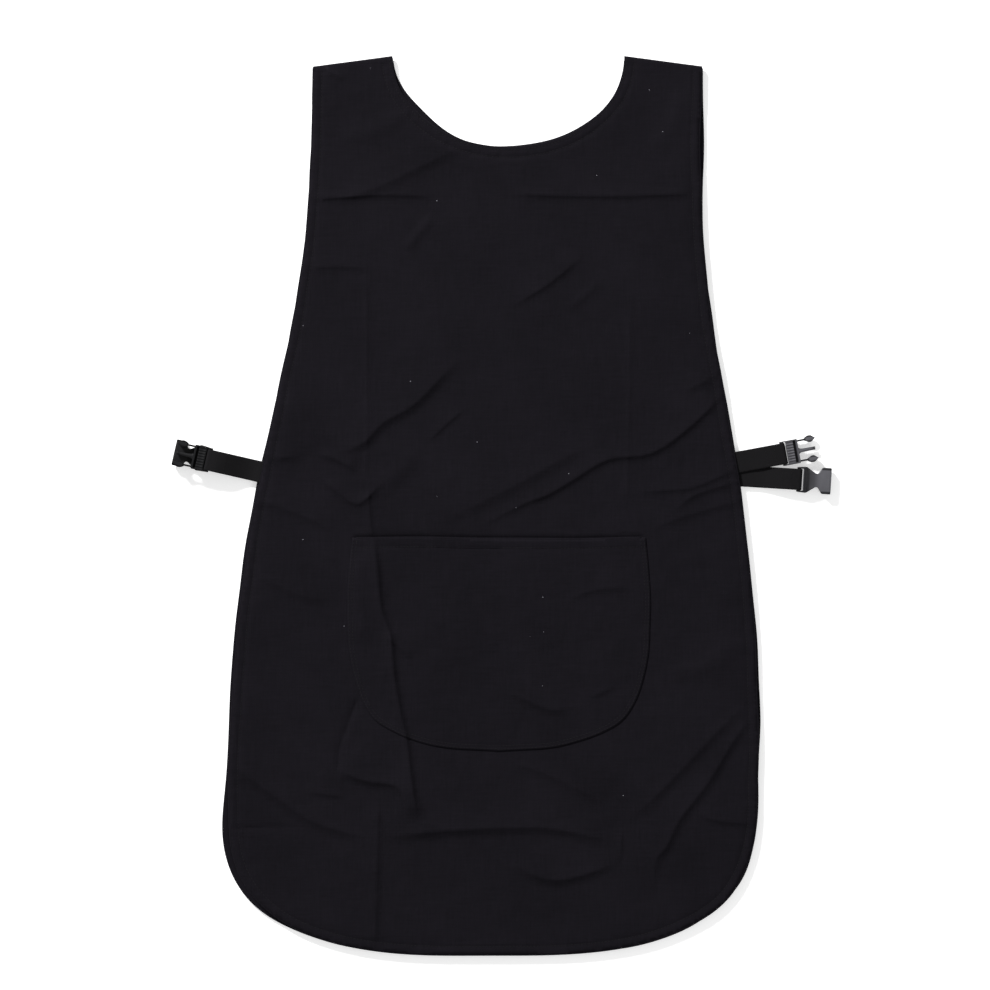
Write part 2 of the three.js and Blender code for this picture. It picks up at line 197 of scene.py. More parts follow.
def thicken(name, plan, tris, top, thick, material):
    # a sheet with a top face, a bottom face and a rim
    a, b = plan[tris[:, 1]] - plan[tris[:, 0]], plan[tris[:, 2]] - plan[tris[:, 0]]
    turned = a[:, 0] * b[:, 1] - a[:, 1] * b[:, 0] < 0
    tris = np.where(turned[:, None], tris[:, ::-1], tris)
    n = len(plan)
    verts = np.vstack([np.column_stack([plan, top]), np.column_stack([plan, top - thick])])
    directed = {(int(t[i]), int(t[(i + 1) % 3])) for t in tris for i in range(3)}
    rim = [(p, q) for p, q in directed if (q, p) not in directed]
    rim.sort()
    walls = [(q, p, p + n, q + n) for p, q in rim]
    faces = tris.tolist() + (tris[:, ::-1] + n).tolist() + walls
    first = 2 * len(tris)
    return meshFrom(name, verts, faces, material, range(first, first + len(walls)))


def tubeFaces(rings, k):
    # the faces of a tube with so many rings of k points, closed at both ends
    faces = []
    for i in range(rings - 1):
        for j in range(k):
            p, q = i * k + j, i * k + (j + 1) % k
            faces.append((p, q, q + k, p + k))
    return faces + [tuple(reversed(range(k))), tuple(range((rings - 1) * k, rings * k))]


def turnOutwards(obj):
    # whichever way round its faces were listed
    bm = bmesh.new()
    bm.from_mesh(obj.data)
    bmesh.ops.recalc_face_normals(bm, faces=bm.faces)
    bm.to_mesh(obj.data)
    bm.free()


def sweep(name, centres, sides, ups, section, material):
    # a closed section of (side, up) offsets carried along a run of points
    verts = (
        centres[:, None, :]
        + section[None, :, 0, None] * sides[:, None, :]
        + section[None, :, 1, None] * ups[:, None, :]
    ).reshape(-1, 3)
    obj = meshFrom(name, verts, tubeFaces(len(centres), len(section)), material)
    turnOutwards(obj)
    obj.data.shade_smooth()
    return obj


# helpers for materials

class Wire:
    # a node's socket that can stand in a sum
    def __init__(self, maker, socket):
        self.maker = maker
        self.socket = socket

    def output(self, index):
        # another output of the same node
        return Wire(self.maker, self.socket.node.outputs[index])

    def join(self, operation, first, second):
        return self.maker.maths(operation, first, second)

    def __add__(self, other):
        return self.join("ADD", self, other)

    def __radd__(self, other):
        return self.join("ADD", other, self)

    def __sub__(self, other):
        return self.join("SUBTRACT", self, other)

    def __rsub__(self, other):
        return self.join("SUBTRACT", other, self)

    def __mul__(self, other):
        return self.join("MULTIPLY", self, other)

    def __rmul__(self, other):
        return self.join("MULTIPLY", other, self)


class Maker:
    # one material and its nodes
    def __init__(self, name):
        self.material = bpy.data.materials.new(name)
        self.material.use_nodes = True
        self.tree = self.material.node_tree
        self.shader = self.tree.nodes["Principled BSDF"]

    def node(self, kind, settings=None, values=None, output=0):
        made = self.tree.nodes.new(kind)
        for key, value in (settings or {}).items():
            if key == "stops":
                ramp = made.color_ramp
                while len(ramp.elements) < len(value):
                    ramp.elements.new(0.5)
                for element, (position, colour) in zip(ramp.elements, value):
                    element.position = position
                    element.color = colour
            else:
                setattr(made, key, value)
        for key, value in (values or {}).items():
            self.feed(made.inputs[key], value)
        return Wire(self, made.outputs[output])

    def maths(self, operation, first, second=None):
        values = {0: first} if second is None else {0: first, 1: second}
        return self.node("ShaderNodeMath", {"operation": operation}, values)

    def feed(self, socket, value):
        if isinstance(value, Wire):
            self.tree.links.new(value.socket, socket)
        else:
            socket.default_value = value

    def set(self, **values):
        for key, value in values.items():
            self.feed(self.shader.inputs[key.replace("_", " ")], value)

    def mix(self, factor, first, second):
        return self.node(
            "ShaderNodeMix", {"data_type": "RGBA"}, {0: factor, 6: first, 7: second}, 2
        )

    def noise(self, coords, scale, detail=3.0, stretch=None, rough=0.55):
        if stretch:
            coords = self.node("ShaderNodeMapping", None, {"Vector": coords, "Scale": stretch})
        return self.node(
            "ShaderNodeTexNoise", None,
            {"Vector": coords, "Scale": scale, "Detail": detail, "Roughness": rough},
        )


def rgba(r, g, b):
    return (r, g, b, 1.0)


# cloth

clothLook = {
    "dark": (0.0031, 0.0027, 0.0040),
    "light": (0.0082, 0.0070, 0.0100),
    "lint": (0.26, 0.26, 0.29),
    "threadPitch": 0.45,
    "crumple": 0.5,
    "roughness": 0.86,
    "shine": 0.07,
    "sheen": 0.02,
    "sheenTint": (0.6, 0.55, 0.7),
    "speckScale": 80.0,
    "speckSize": 0.034,
}


def makeCloth(name, look, lintShare=0.13):
    m = Maker(name)
    coords = m.node("ShaderNodeTexCoord", output=3)
    # warp and weft
    axes = m.node("ShaderNodeSeparateXYZ", None, {0: coords})
    across = axes.output(1)
    k = 2 * math.pi / (look["threadPitch"] * mm)
    warp = m.maths("SINE", axes * k)
    weft = m.maths("SINE", across * k)
    weave = warp * weft
    slubX = m.noise(coords, 1.0, 2.0, (40, 1400, 40))
    slubY = m.noise(coords, 1.0, 2.0, (1400, 40, 40))
    mottle = m.noise(coords, 14.0, 5.0)
    grain = m.noise(coords, 420.0, 2.0)
    tone = mottle * 0.7 + slubX * 0.75 + slubY * 0.75 + grain * 0.5 - 0.85
    tint = m.mix(tone, rgba(*look["dark"]), rgba(*look["light"]))
    # a few specks of lint
    specks = m.node(
        "ShaderNodeTexVoronoi", {"feature": "F1"},
        {"Vector": coords, "Scale": look["speckScale"], "Randomness": 1.0},
    )
    rare = m.node("ShaderNodeSeparateXYZ", None, {0: specks.output(1)})
    isSmall = m.maths("LESS_THAN", specks, look["speckSize"])
    isRare = m.maths("LESS_THAN", rare, lintShare)
    lint = isSmall * isRare
    m.set(Base_Color=m.mix(lint * 0.8, tint, rgba(*look["lint"])))
    m.set(Roughness=look["roughness"] + 0.1 * grain)
    crumple = m.noise(coords, 55.0, 3.0, None, 0.5)
    coarse = m.node(
        "ShaderNodeBump", None, {"Strength": look["crumple"], "Distance": 0.0011, "Height": crumple}
    )
    height = weave * 0.5 + slubX * 0.7 + slubY * 0.7
    fine = m.node(
        "ShaderNodeBump", None,
        {"Strength": 0.35, "Distance": 0.00012, "Height": height, "Normal": coarse},
    )
    m.set(Normal=fine, Specular_IOR_Level=look["shine"])
    m.set(Sheen_Weight=look["sheen"], Sheen_Roughness=0.5, Sheen_Tint=rgba(*look["sheenTint"]))
    return m.material


clothFront = makeCloth("apronCloth", clothLook)
clothInside = makeCloth("apronClothInside", {**clothLook, "crumple": 0.35}, 0.01)


threadLook = {"dark": (0.0050, 0.0048, 0.0053), "light": (0.0165, 0.0160, 0.0175), "shine": 0.08}


def makeThread(look):
    m = Maker("sewingThread")
    coords = m.node("ShaderNodeTexCoord", output=3)
    tone = m.noise(coords, 900.0, 2.0)
    m.set(Base_Color=m.mix(tone, rgba(*look["dark"]), rgba(*look["light"])))
    m.set(Roughness=0.6 + 0.25 * tone, Specular_IOR_Level=look["shine"])
    return m.material


threadMaterial = makeThread(threadLook)

webbingLook = {
    "dark": (0.0019, 0.0017, 0.0021),
    "light": (0.0080, 0.0074, 0.0086),
    "ribPitch": 1.15,
    "cordPitch": 1.7,
    "stagger": 1.57,
    "shine": 0.1,
    "sheen": 0.02,
}


def makeWebbing(look):
    m = Maker("webbing")
    place = m.node("ShaderNodeUVMap", {"uv_map": "UVMap"})
    parts = m.node("ShaderNodeSeparateXYZ", None, {0: place})
    across = parts.output(1)
    # u runs along the strap and v across it, both in metres
    ribTurn = 2 * math.pi / (look["ribPitch"] * mm)
    cordTurn = 2 * math.pi / (look["cordPitch"] * mm)
    rib = m.maths("SINE", parts * ribTurn)
    half = m.maths("SINE", across * cordTurn)
    shift = m.maths("SIGN", half)
    staggered = m.maths("SINE", parts * ribTurn + shift * look["stagger"])
    cords = m.maths("ABSOLUTE", half)
    weave = staggered * 0.5 + cords * 0.6 + rib * 0.15
    fuzz = m.noise(place, 1500.0, 2.0)
    tone = weave * 0.35 + fuzz * 0.5 + 0.12
    m.set(Base_Color=m.mix(tone, rgba(*look["dark"]), rgba(*look["light"])))
    m.set(Roughness=0.62 + 0.25 * fuzz)
    bump = m.node("ShaderNodeBump", None, {"Strength": 0.7, "Distance": 0.00022, "Height": weave})
    m.set(Normal=bump, Specular_IOR_Level=look["shine"], Sheen_Weight=look["sheen"])
    return m.material


webbingMaterial = makeWebbing(webbingLook)


def makeAcetal(name, base, light, gloss, shine):
    # the point attribute read here is painted light: 0 where painted shade darkens recesses, slots
    # and side walls, and 1 where painted highlights make the plastic pale
    m = Maker(name)
    coords = m.node("ShaderNodeTexCoord", output=3)
    rub = m.node("ShaderNodeAttribute", {"attribute_name": "rub"}, None, 2)
    cloud = m.noise(coords, 160.0, 4.0)
    grain = m.noise(coords, 2600.0, 3.0)
    scuff = m.noise(coords, 1.0, 4.0, (1500, 260, 400), 0.7)
    worn = m.node("ShaderNodeMapRange", None, {0: scuff, 1: 0.60, 2: 0.76, 3: 0.0, 4: 1.0})
    # tone is the painted light from that attribute, varied by random cloud and grain, plus real
    # scuff wear
    tone = rub * (0.62 + 0.3 * cloud + 0.25 * grain) + 0.12 * worn
    m.set(Base_Color=m.mix(tone, rgba(*base), rgba(*light)))
    m.set(Roughness=gloss + 0.12 * cloud + 0.1 * worn)
    bump = m.node("ShaderNodeBump", None, {"Strength": 0.25, "Distance": 0.00005, "Height": grain})
    m.set(Normal=bump, Specular_IOR_Level=shine)
    return m.material


# one plastic made as two copies in different light: a lit copy with painted highlights for the
# right-hand buckles, and a darker shaded copy with painted shade for the left-hand ones
acetalLooks = {
    "acetalLitCopy": dict(base=(0.006, 0.006, 0.0075), light=(0.092, 0.091, 0.102),
                        gloss=0.34, shine=0.36),
    "acetalShadedCopy": dict(base=(0.0018, 0.0018, 0.0022), light=(0.0115, 0.0115, 0.0125),
                       gloss=0.4, shine=0.12),
}
litAcetal, acetalShadedCopy = [makeAcetal(name, **look) for name, look in acetalLooks.items()]
print("stage: materials")


# studio

studio = {
    "centre": (-6.6, 8.9), "across": 930.6, "distance": 3400.0,
    "sky": 0.40, "key": 480.0, "fill": 40.0, "glow": 0.45,
    "floorSide": 6000.0, "floorDrop": 1.6,
}


def addStudio(look):
    cx, cy = look["centre"]
    camera = bpy.data.cameras.new("camera")
    camera.sensor_width = 36.0
    camera.lens = 36.0 * look["distance"] / look["across"]
    camera.clip_end = 20.0
    camera.dof.use_dof = False
    eye = bpy.data.objects.new("camera", camera)
    eye.location = (cx * mm, cy * mm, (look["distance"] + 4) * mm)
    scene.collection.objects.link(eye)
    scene.camera = eye

    world = bpy.data.worlds.new("studio")
    world.use_nodes = True
    background = world.node_tree.nodes["Background"]
    background.inputs[0].default_value = rgba(1.0, 1.0, 1.0)
    background.inputs[1].default_value = look["sky"]
    scene.world = world

    def areaLight(name, spot, size, power):
        data = bpy.data.lights.new(name, "AREA")
        data.shape = "DISK"
        data.size = size
        data.energy = power
        lamp = bpy.data.objects.new(name, data)
        lamp.location = spot
        aim = Vector((0, 0, 0)) - Vector(spot)
        lamp.rotation_euler = aim.to_track_quat("-Z", "Y").to_euler()
        scene.collection.objects.link(lamp)

    areaLight("key", (-2.7, 3.8, 2.6), 0.9, look["key"])
    areaLight("fill", (3.0, -2.6, 3.4), 2.0, look["fill"])

    m = Maker("paleFloor")
    coords = m.node("ShaderNodeTexCoord", output=3)
    cloud = m.noise(coords, 3.0, 2.0)
    m.set(Base_Color=m.mix(cloud, rgba(0.90, 0.90, 0.90), rgba(0.94, 0.94, 0.94)))
    m.set(Roughness=0.9, Specular_IOR_Level=0.1)
    m.set(Emission_Color=rgba(1.0, 1.0, 1.0), Emission_Strength=look["glow"])
    side, drop = look["floorSide"], look["floorDrop"]
    corners = [(x * side, y * side, -drop) for x, y in ((-1, -1), (1, -1), (1, 1), (-1, 1))]
    floor = meshFrom("floor", corners, [(0, 1, 2, 3)], m.material)


addStudio(studio)
print("stage: studio")


# the cut of the panels

panel = {
    "shoulderY": 420.0, "shoulderDrop": 10.0, "shoulderRun": 75.0,
    "halfShoulder": 183.0, "halfHem": 249.0,
    "hemY": -424.0, "cornerHeight": 159.0, "cornerPower": 3.0,
    "skew": 0.02, "shift": -3.0,
    "neckX": 6.0, "neckHalf": 109.0, "neckDepth": 84.0,
    "hem": 10.0, "stitch": 8.5, "neckStitch": 9.6, "neckEdgeStitch": 2.6,
    "thick": 0.6, "spacing": 3.3,
    "flare": [
        (0, 0), (0.163, 0.01), (0.311, 0.15), (0.459, 0.42),
        (0.605, 0.7), (0.754, 0.88), (0.902, 0.98), (1, 1),
    ],
}
widestY = panel["hemY"] + panel["cornerHeight"]
shoulderEndY = panel["shoulderY"] - panel["shoulderDrop"]


def splineThrough(points, steps):
    # the same even Catmull-Rom curve that the frame is cut by
    p = np.array(points, float)
    at = np.linspace(0, len(p) - 1, steps + 1)
    i = np.minimum(at.astype(int), len(p) - 2)
    w = (at - i)[:, None]
    a, b = p[np.maximum(i - 1, 0)], p[i]
    c, d = p[i + 1], p[np.minimum(i + 2, len(p) - 1)]
    v0, v1 = (c - a) / 2, (d - b) / 2
    return (2 * b - 2 * c + v0 + v1) * w**3 + (-3 * b + 3 * c - 2 * v0 - v1) * w**2 + v0 * w + b


flareRun = splineThrough(panel["flare"], 120)


def middleAt(y):
    return panel["shift"] + panel["skew"] * y


def halfWidthAt(y):
    down = (shoulderEndY - y) / (shoulderEndY - widestY)
    share = np.interp(down, flareRun[:, 0], flareRun[:, 1])
    return panel["halfShoulder"] + (panel["halfHem"] - panel["halfShoulder"]) * share


def sideRun(side):
    y = np.linspace(shoulderEndY, widestY, 160)
    upper = np.column_stack([middleAt(y) + side * halfWidthAt(y), y])
    turn = np.linspace(0, math.pi / 2, 160)[1:]
    power = 2 / panel["cornerPower"]
    x = panel["halfHem"] * np.abs(np.cos(turn)) ** power
    y = widestY - panel["cornerHeight"] * np.sin(turn) ** power
    return np.vstack([upper, np.column_stack([middleAt(y) + side * x, y])])


def bulge(run, outward, bumps):
    # the outline let out here and there, as (x, y, how far, spread)
    extra = np.zeros(len(run))
    for x, y, far, spread in bumps:
        extra += far * np.exp(-((run[:, 0] - x) ** 2 + (run[:, 1] - y) ** 2) / spread**2)
    return run + outward * extra[:, None]


def hemLine(bumps, seed):
    left, right = sideRun(-1), sideRun(1)
    run = resample(np.vstack([left, right[:-1][::-1]]), 3.0)
    outward = -normalsOf(run)
    run = bulge(run, outward, bumps)
    sway = 0.55 * easedEnds(run, 12.0) * waves(run[:, 0], run[:, 1], seed, 90.0)
    return run + outward * sway[:, None]


def neckLine(bumps, seed):
    # from its left end to its right end
    turn = np.linspace(math.pi, 0, 200)
    x = panel["neckX"] + panel["neckHalf"] * np.cos(turn)
    y = panel["shoulderY"] - panel["neckDepth"] * np.sin(turn)
    run = resample(np.column_stack([x, y]), 3.0)
    intoNeck = normalsOf(run)
    run = bulge(run, intoNeck, bumps)
    sway = 0.4 * easedEnds(run, 12.0) * waves(run[:, 0], run[:, 1], seed, 60.0)
    return run + intoNeck * sway[:, None]


class Cut:
    # one panel's outline, and distances from its hem and its neckline
    def __init__(self, hemBumps, neckBumps, seed):
        self.hem = hemLine(hemBumps, seed)
        self.neck = neckLine(neckBumps, seed + 1)
        leftShoulder = resample([self.neck[0], self.hem[0]], 3.0)
        rightShoulder = resample([self.hem[-1], self.neck[-1]], 3.0)
        self.outline = np.vstack([
            self.hem[:-1], rightShoulder[:-1], self.neck[::-1][:-1], leftShoulder[:-1],
        ])
        self.hemTree = treeOf(resample(self.hem, 0.8))
        self.neckTree = treeOf(resample(self.neck, 0.8))

    def hemGap(self, x, y):
        return distanceTo(self.hemTree, x, y)

    def neckGap(self, x, y):
        return distanceTo(self.neckTree, x, y)

    def insetHem(self, gap):
        run = resample(self.hem + gap * normalsOf(self.hem), 2.6)
        return run[self.below(run, 1.2)]

    def insetNeck(self, gap):
        run = resample(self.neck - gap * normalsOf(self.neck), 2.6)
        return run[self.below(run, 1.2)]

    def below(self, run, margin):
        # clear of the shoulder lines
        return run[:, 1] < shoulderLineY(run[:, 0]) - margin


def shoulderLineY(x):
    left = panel["neckX"] - panel["neckHalf"]
    right = panel["neckX"] + panel["neckHalf"]
    out = np.maximum(np.maximum(left - x, x - right), 0)
    return panel["shoulderY"] - panel["shoulderDrop"] * out / panel["shoulderRun"]


frontCut = Cut([], [], 11)
backCut = Cut(
    [
        (-243, -330, 7.0, 70.0), (-240, -100, 3.2, 120.0),
        (186, 330, 2.6, 60.0), (248, -150, 1.5, 110.0),
    ],
    [(-85, 370, 5.0, 34.0), (40, 337, 1.2, 40.0)],
    23,
)

# folds in the front as it lies: crest line, height, width, kind and how far the ends fade
frontFolds = [
    # press folds from packing
    ([(-190, 286), (-120, 291), (-60, 290)], 1.6, 3.5, "lap", 0.2),
    ([(2, 292), (95, 290), (192, 293)], 1.6, 3.5, "lap", 0.2),
    ([(-176, 280), (-120, 298), (-70, 322), (-20, 346)], 1.7, 8.0, "lap", 0.35),
    ([(-128, 244), (-127, 100), (-128, 10)], 0.7, 3.0, "crease", 0.2),
    ([(121, 211), (119, 90), (117, -24)], 0.7, 3.0, "crease", 0.2),
    ([(-120, -424), (-118, -345), (-117, -276)], 1.7, 4.5, "lap", 0.15),
    ([(-275, -304), (-190, -304)], -1.0, 2.5, "crease", 0.2),
    # drag lines across the middle
    ([(-31, -25), (18, 0), (43, 10), (67, 24), (100, 43), (141, 49), (178, 75), (210, 107),
      (238, 138)], 2.2, 4.4, "lap", 0.25),
    ([(-72, -23), (10, 18), (59, 45), (108, 66)], 1.8, 9.0, "lap", 0.4),
    ([(-164, 48), (-133, 57), (-113, 77), (-84, 94), (-60, 118), (-38, 140)],
     2.6, 7.0, "lap", 0.25),
    ([(-72, 57), (-52, 76), (-32, 93)], 1.1, 3.0, "lap", 0.35),
    ([(-125, 2), (-98, 30), (-70, 59)], 1.0, 8.0, "ridge", 0.35),
    ([(-93, 237), (-64, 273)], 1.1, 4.0, "ridge", 0.25),
    ([(4, 184), (44, 208), (80, 238)], 1.4, 4.0, "lap", 0.35),
    ([(62, 183), (92, 209)], 1.0, 4.0, "ridge", 0.25),
    ([(-176, 31), (-156, 14), (-138, 1), (-127, 7), (-108, 26)], 1.7, 4.2, "lap", 0.3),
    ([(-176, 48), (-156, 43), (-134, 31)], 1.8, 4.5, "lap", 0.3),
    ([(-250, 46), (-216, 44), (-184, 47)], 1.6, 5.0, "lap", 0.35),
    ([(-250, 12), (-216, 1), (-186, -10), (-152, -27)], 1.6, 7.0, "lap", 0.3),
    ([(-210, 102), (-180, 70), (-162, 52)], 1.6, 8.0, "ridge", 0.25),
    ([(116, 12), (160, 14), (184, 18), (222, 35), (250, 47)], 1.4, 4.0, "lap", 0.3),
    ([(160, -9), (178, 8), (212, 20), (248, 32)], 1.8, 5.0, "lap", 0.25),
    ([(166, 104), (208, 126), (236, 144)], 1.6, 6.0, "lap", 0.3),
    ([(132, -27), (166, -12), (222, 4), (250, 10)], 1.3, 6.0, "lap", 0.3),
    # the pleat down the left of the pocket
    ([(-122, -34), (-125, -8), (-126, 14)], 1.5, 3.4, "lap", 0.2),
    ([(-79, -300), (-86, -256), (-90, -222), (-95, -200), (-102, -160), (-105, -125),
      (-114, -98), (-118, -57), (-123, -20)], 3.4, 4.2, "lap", 0.12),
    ([(-136, -40), (-134, -90), (-128, -140)], 1.6, 8.0, "ridge", 0.25),
    ([(-112, -120), (-95, -134), (-84, -148)], 1.4, 5.0, "lap", 0.3),
    ([(-135, -180), (-147, -213), (-153, -231), (-155, -253)], -1.7, 2.4, "crease", 0.15),
    # below the pocket
    ([(-156, -248), (-128, -259), (-100, -263), (-90, -276), (-79, -298)], 2.8, 6.0, "lap", 0.2),
    ([(-120, -312), (-60, -306), (0, -303), (50, -304), (112, -318)], 3.0, 8.0, "lap", 0.22),
    ([(8, -336), (45, -352), (80, -346), (114, -332)], 2.6, 7.0, "lap", 0.3),
    ([(111, -338), (112, -304)], 1.0, 3.0, "lap", 0.3),
    ([(-268, -236), (-240, -254), (-212, -274), (-176, -298), (-122, -314)], 1.9, 7.0, "lap", 0.2),
    ([(-186, -269), (-144, -275)], 1.2, 4.0, "lap", 0.35),
    ([(142, -372), (144, -334), (153, -322), (167, -294), (192, -262), (217, -221), (243, -186)],
     2.4, 6.5, "lap", 0.25),
    ([(111, -303), (155, -262), (202, -212), (238, -178)], 2.0, 7.5, "lap", 0.3),
    ([(0, -240), (36, -250), (80, -271), (102, -284)], 1.5, 7.0, "lap", 0.3),
    ([(178, -287), (205, -297), (250, -299)], 1.5, 4.5, "lap", 0.3),
    ([(-2, -175), (17, -180), (45, -192), (72, -190)], 2.0, 6.0, "lap", 0.35),
    ([(80, -182), (108, -170)], 1.0, 4.0, "lap", 0.4),
    ([(58, -92), (84, -80), (126, -77)], 1.4, 5.5, "lap", 0.35),
    ([(150, -160), (196, -150), (226, -120)], 1.2, 9.0, "ridge", 0.25),
    ([(-240, -60), (-190, -84), (-150, -90)], 1.3, 8.0, "lap", 0.35),
    # across the chest and up to the shoulders
    ([(-160, 344), (-120, 352), (-84, 372)], 1.0, 8.0, "ridge", 0.25),
    ([(140, 330), (160, 356), (172, 392)], 1.0, 9.0, "ridge", 0.25),
    ([(-166, 408), (-156, 404), (-148, 398)], 1.2, 3.5, "crease", 0.25),
    ([(-200, 222), (-150, 224), (-118, 220)], 1.0, 4.5, "lap", 0.3),
]
frontFolds = [
    (splineThrough(line, 4 * (len(line) - 1)) if len(line) > 2 else np.array(line, float), *rest)
    for line, *rest in frontFolds
]

pocket = {
    "x": -3.0, "top": -31.0, "half": 142.0, "depth": 201.0, "spacing": 2.8,
    "thick": 0.45, "clear": 0.15, "edgeStitch": 1.6, "innerStitch": 4.6, "topStitch": 9.0,
    "gape": 1.2, "puff": 0.9, "mouth": 1.2,
    "curve": [
        (0.97, 0), (1, 0.2), (1, 85 / 201), (0.965, 0.64), (0.86, 0.82),
        (0.7, 0.905), (0.42, 0.975), (0, 1),
    ],
}


def openingY(x):
    # the opening sags slightly to the right of its middle
    return pocket["top"] - 1.2 * np.exp(-(((x - 40) / 60) ** 2)) + 0.3 * np.sin(x / 17.0)


heights = {
    "edge": 4.9, "middle": 4.3, "least": 3.0, "backEdge": 0.7,
    "hemPad": 0.22, "groove": 0.42, "pucker": 0.2, "edgeGroove": 0.28,
}
# the height, seed and length of each slow swell
frontSwells = [(0.55, 3, 170.0), (0.22, 4, 60.0), (0.06, 5, 22.0)]
backSwells = [(0.3, 31, 150.0), (0.12, 32, 45.0)]


def swellOf(swells, x, y):
    return sum(height * waves(x, y, seed, length) for height, seed, length in swells)


def hemRelief(gap, line, x, y, seed):
    # the turned edge stands a little proud, with a sunk and puckered row of stitches
    groove = np.exp(-(((gap - line) / 1.0) ** 2))
    pad = np.clip(1 - ((gap - line / 2) / (line / 2)) ** 2, 0, 1)
    zone = np.exp(-(((gap - line * 0.8) / 5.0) ** 2))
    rise = heights["hemPad"] * pad - heights["groove"] * groove
    return rise + heights["pucker"] * zone * waves(x, y, seed, 11.0)


def frontBase(x, y):
    x, y = np.asarray(x, float), np.asarray(y, float)
    hem, neck = frontCut.hemGap(x, y), frontCut.neckGap(x, y)
    gap = np.minimum(hem, neck)
    flat = heights["edge"] - (heights["edge"] - heights["middle"]) * smooth((gap - 9) / 30)
    inner = smooth(gap / 34)
    swell = swellOf(frontSwells, x, y)
    total = np.zeros_like(x)
    for fold in frontFolds:
        total += foldAt(x, y, *fold)
    lift = np.where(gap < 12, np.abs(swell) * 0.4, swell)
    rise = flat + lift * (0.3 + 0.7 * inner) + total * (0.35 + 0.65 * smooth(gap / 16))
    rise = np.maximum(rise, heights["least"] + 1.9 * smooth(1 - gap / 14))
    rise += hemRelief(hem, panel["stitch"], x, y, 7)
    rise += hemRelief(neck, panel["neckStitch"], x, y, 8)
    return rise - heights["edgeGroove"] * np.exp(-(((neck - panel["neckEdgeStitch"]) / 0.8) ** 2))


def frontTop(x, y):
    # the front sinks just behind the pocket's opening
    x, y = np.asarray(x, float), np.asarray(y, float)
    within = smooth((pocket["half"] - 3 - np.abs(x - pocket["x"])) / 6)
    valley = np.exp(-(((y - openingY(x) - 0.4) / 1.7) ** 2))
    return frontBase(x, y) - pocket["mouth"] * within * valley


def backTop(x, y):
    # the back lies on the table
    x, y = np.asarray(x, float), np.asarray(y, float)
    gap = np.minimum(backCut.hemGap(x, y), backCut.neckGap(x, y))
    swell = np.abs(swellOf(backSwells, x, y))
    return heights["backEdge"] + 0.55 * swell * smooth((gap - 10) / 25)


def panelGuides(cut):
    beside = 1.1
    stitch, neckStitch = panel["stitch"], panel["neckStitch"]
    gaps = (4.2, stitch - beside, stitch, stitch + beside)
    necks = (
        1.5, panel["neckEdgeStitch"], 4.4, neckStitch - beside, neckStitch, neckStitch + beside,
    )
    return [cut.insetHem(g) for g in gaps] + [cut.insetNeck(g) for g in necks]


def foldGuides(clear):
    # runs beside the crests of the sharper folds, where the net needs points
    guides = []
    for line, _, _, kind, _ in frontFolds:
        gaps = {"lap": (1.8, 0.0, -1.3, -2.7), "crease": (1.3, 0.0, -1.3), "ridge": ()}[kind]
        crest = resample(line, 2.8)
        left = normalsOf(crest)
        for gap in gaps:
            run = crest + gap * left
            good = clear(run[:, 0], run[:, 1])
            first = int(np.argmax(good))
            last = first
            while last < len(run) and good[last]:
                last += 1
            if last - first > 3:
                guides.append(run[first:last])
    return guides


def mouthGuides():
    x = np.arange(pocket["x"] - pocket["half"] + 2, pocket["x"] + pocket["half"] - 2, 2.6)
    return [np.column_stack([x, openingY(x) + rise]) for rise in (-1.2, 0.4, 1.6, 3.0)]


def clearOfFrontEdges(x, y):
    gap = np.minimum(frontCut.hemGap(x, y), frontCut.neckGap(x, y))
    mouth = (np.abs(y - openingY(x) - 0.9) < 4) & (np.abs(x - pocket["x"]) < pocket["half"])
    return insideOf(frontCut.outline, x, y) & (gap > 13) & (y < shoulderLineY(x) - 3) & ~mouth


def addPanel(name, cut, heightAt, node, body, guides=()):
    plan, tris = cutCloth(cut.outline, panelGuides(cut) + list(guides), panel["spacing"])
    top = heightAt(plan[:, 0], plan[:, 1])
    obj = thicken(name, plan, tris, top, panel["thick"], clothFront)
    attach(obj, body)
    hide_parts(node)
    return obj


frontPanel = addPanel(
    "front_cloth", frontCut, frontTop, "front_panel", "front",
    foldGuides(clearOfFrontEdges) + mouthGuides(),
)
backPanel = addPanel("back_cloth", backCut, backTop, "back_panel", "back")
print("stage: panels", len(frontPanel.data.polygons), len(backPanel.data.polygons))


# turned hems and neck facings

band = {"width": 10.0, "lip": 0.4}


def bandSection(direction):
    # (inwards from the edge, up from the panel's face): direction is -1 under a panel, +1 on it
    w, lip = band["width"], band["lip"]
    points = [
        (0.6, 0.06), (0.1, 0.02), (-lip * 0.7, -0.25), (-lip, -0.8), (-lip, -1.35),
        (-lip * 0.5, -1.8), (0.5, -2.0), (w * 0.5, -1.95), (w - 0.4, -1.85), (w, -1.6),
        (w, -0.9), (w - 0.5, -0.62), (2.0, -0.62),
    ]
    return np.array([(a, b if direction < 0 else -b) for a, b in points])


def addBand(name, run, inward, base, direction, node, body):
    sides = np.column_stack([inward, np.zeros(len(run))])
    ups = np.tile([0.0, 0.0, 1.0], (len(run), 1))
    centres = np.column_stack([run, base])
    obj = sweep(name, centres, sides, ups, bandSection(direction), clothInside)
    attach(obj, body)
    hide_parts(node)
    return obj


def edgeHeights(heightAt, run, inward):
    return heightAt(run[:, 0] + 0.6 * inward[:, 0], run[:, 1] + 0.6 * inward[:, 1])


for label, cut, heightAt, direction in [
    ("front", frontCut, frontTop, -1), ("back", backCut, backTop, 1),
]:
    # the neck facing stops short of the shoulder line, which the front folds over
    for part, run, flip in [("hem", cut.hem, 1), ("neck_facing", cut.neck[1:-1], -1)]:
        inward = flip * normalsOf(run)
        base = edgeHeights(heightAt, run, inward)
        if direction > 0:
            base = base - panel["thick"]
        addBand(
            f"{label}_{part}_band", run, inward, base, direction, f"{label}_{part}", label,
        )

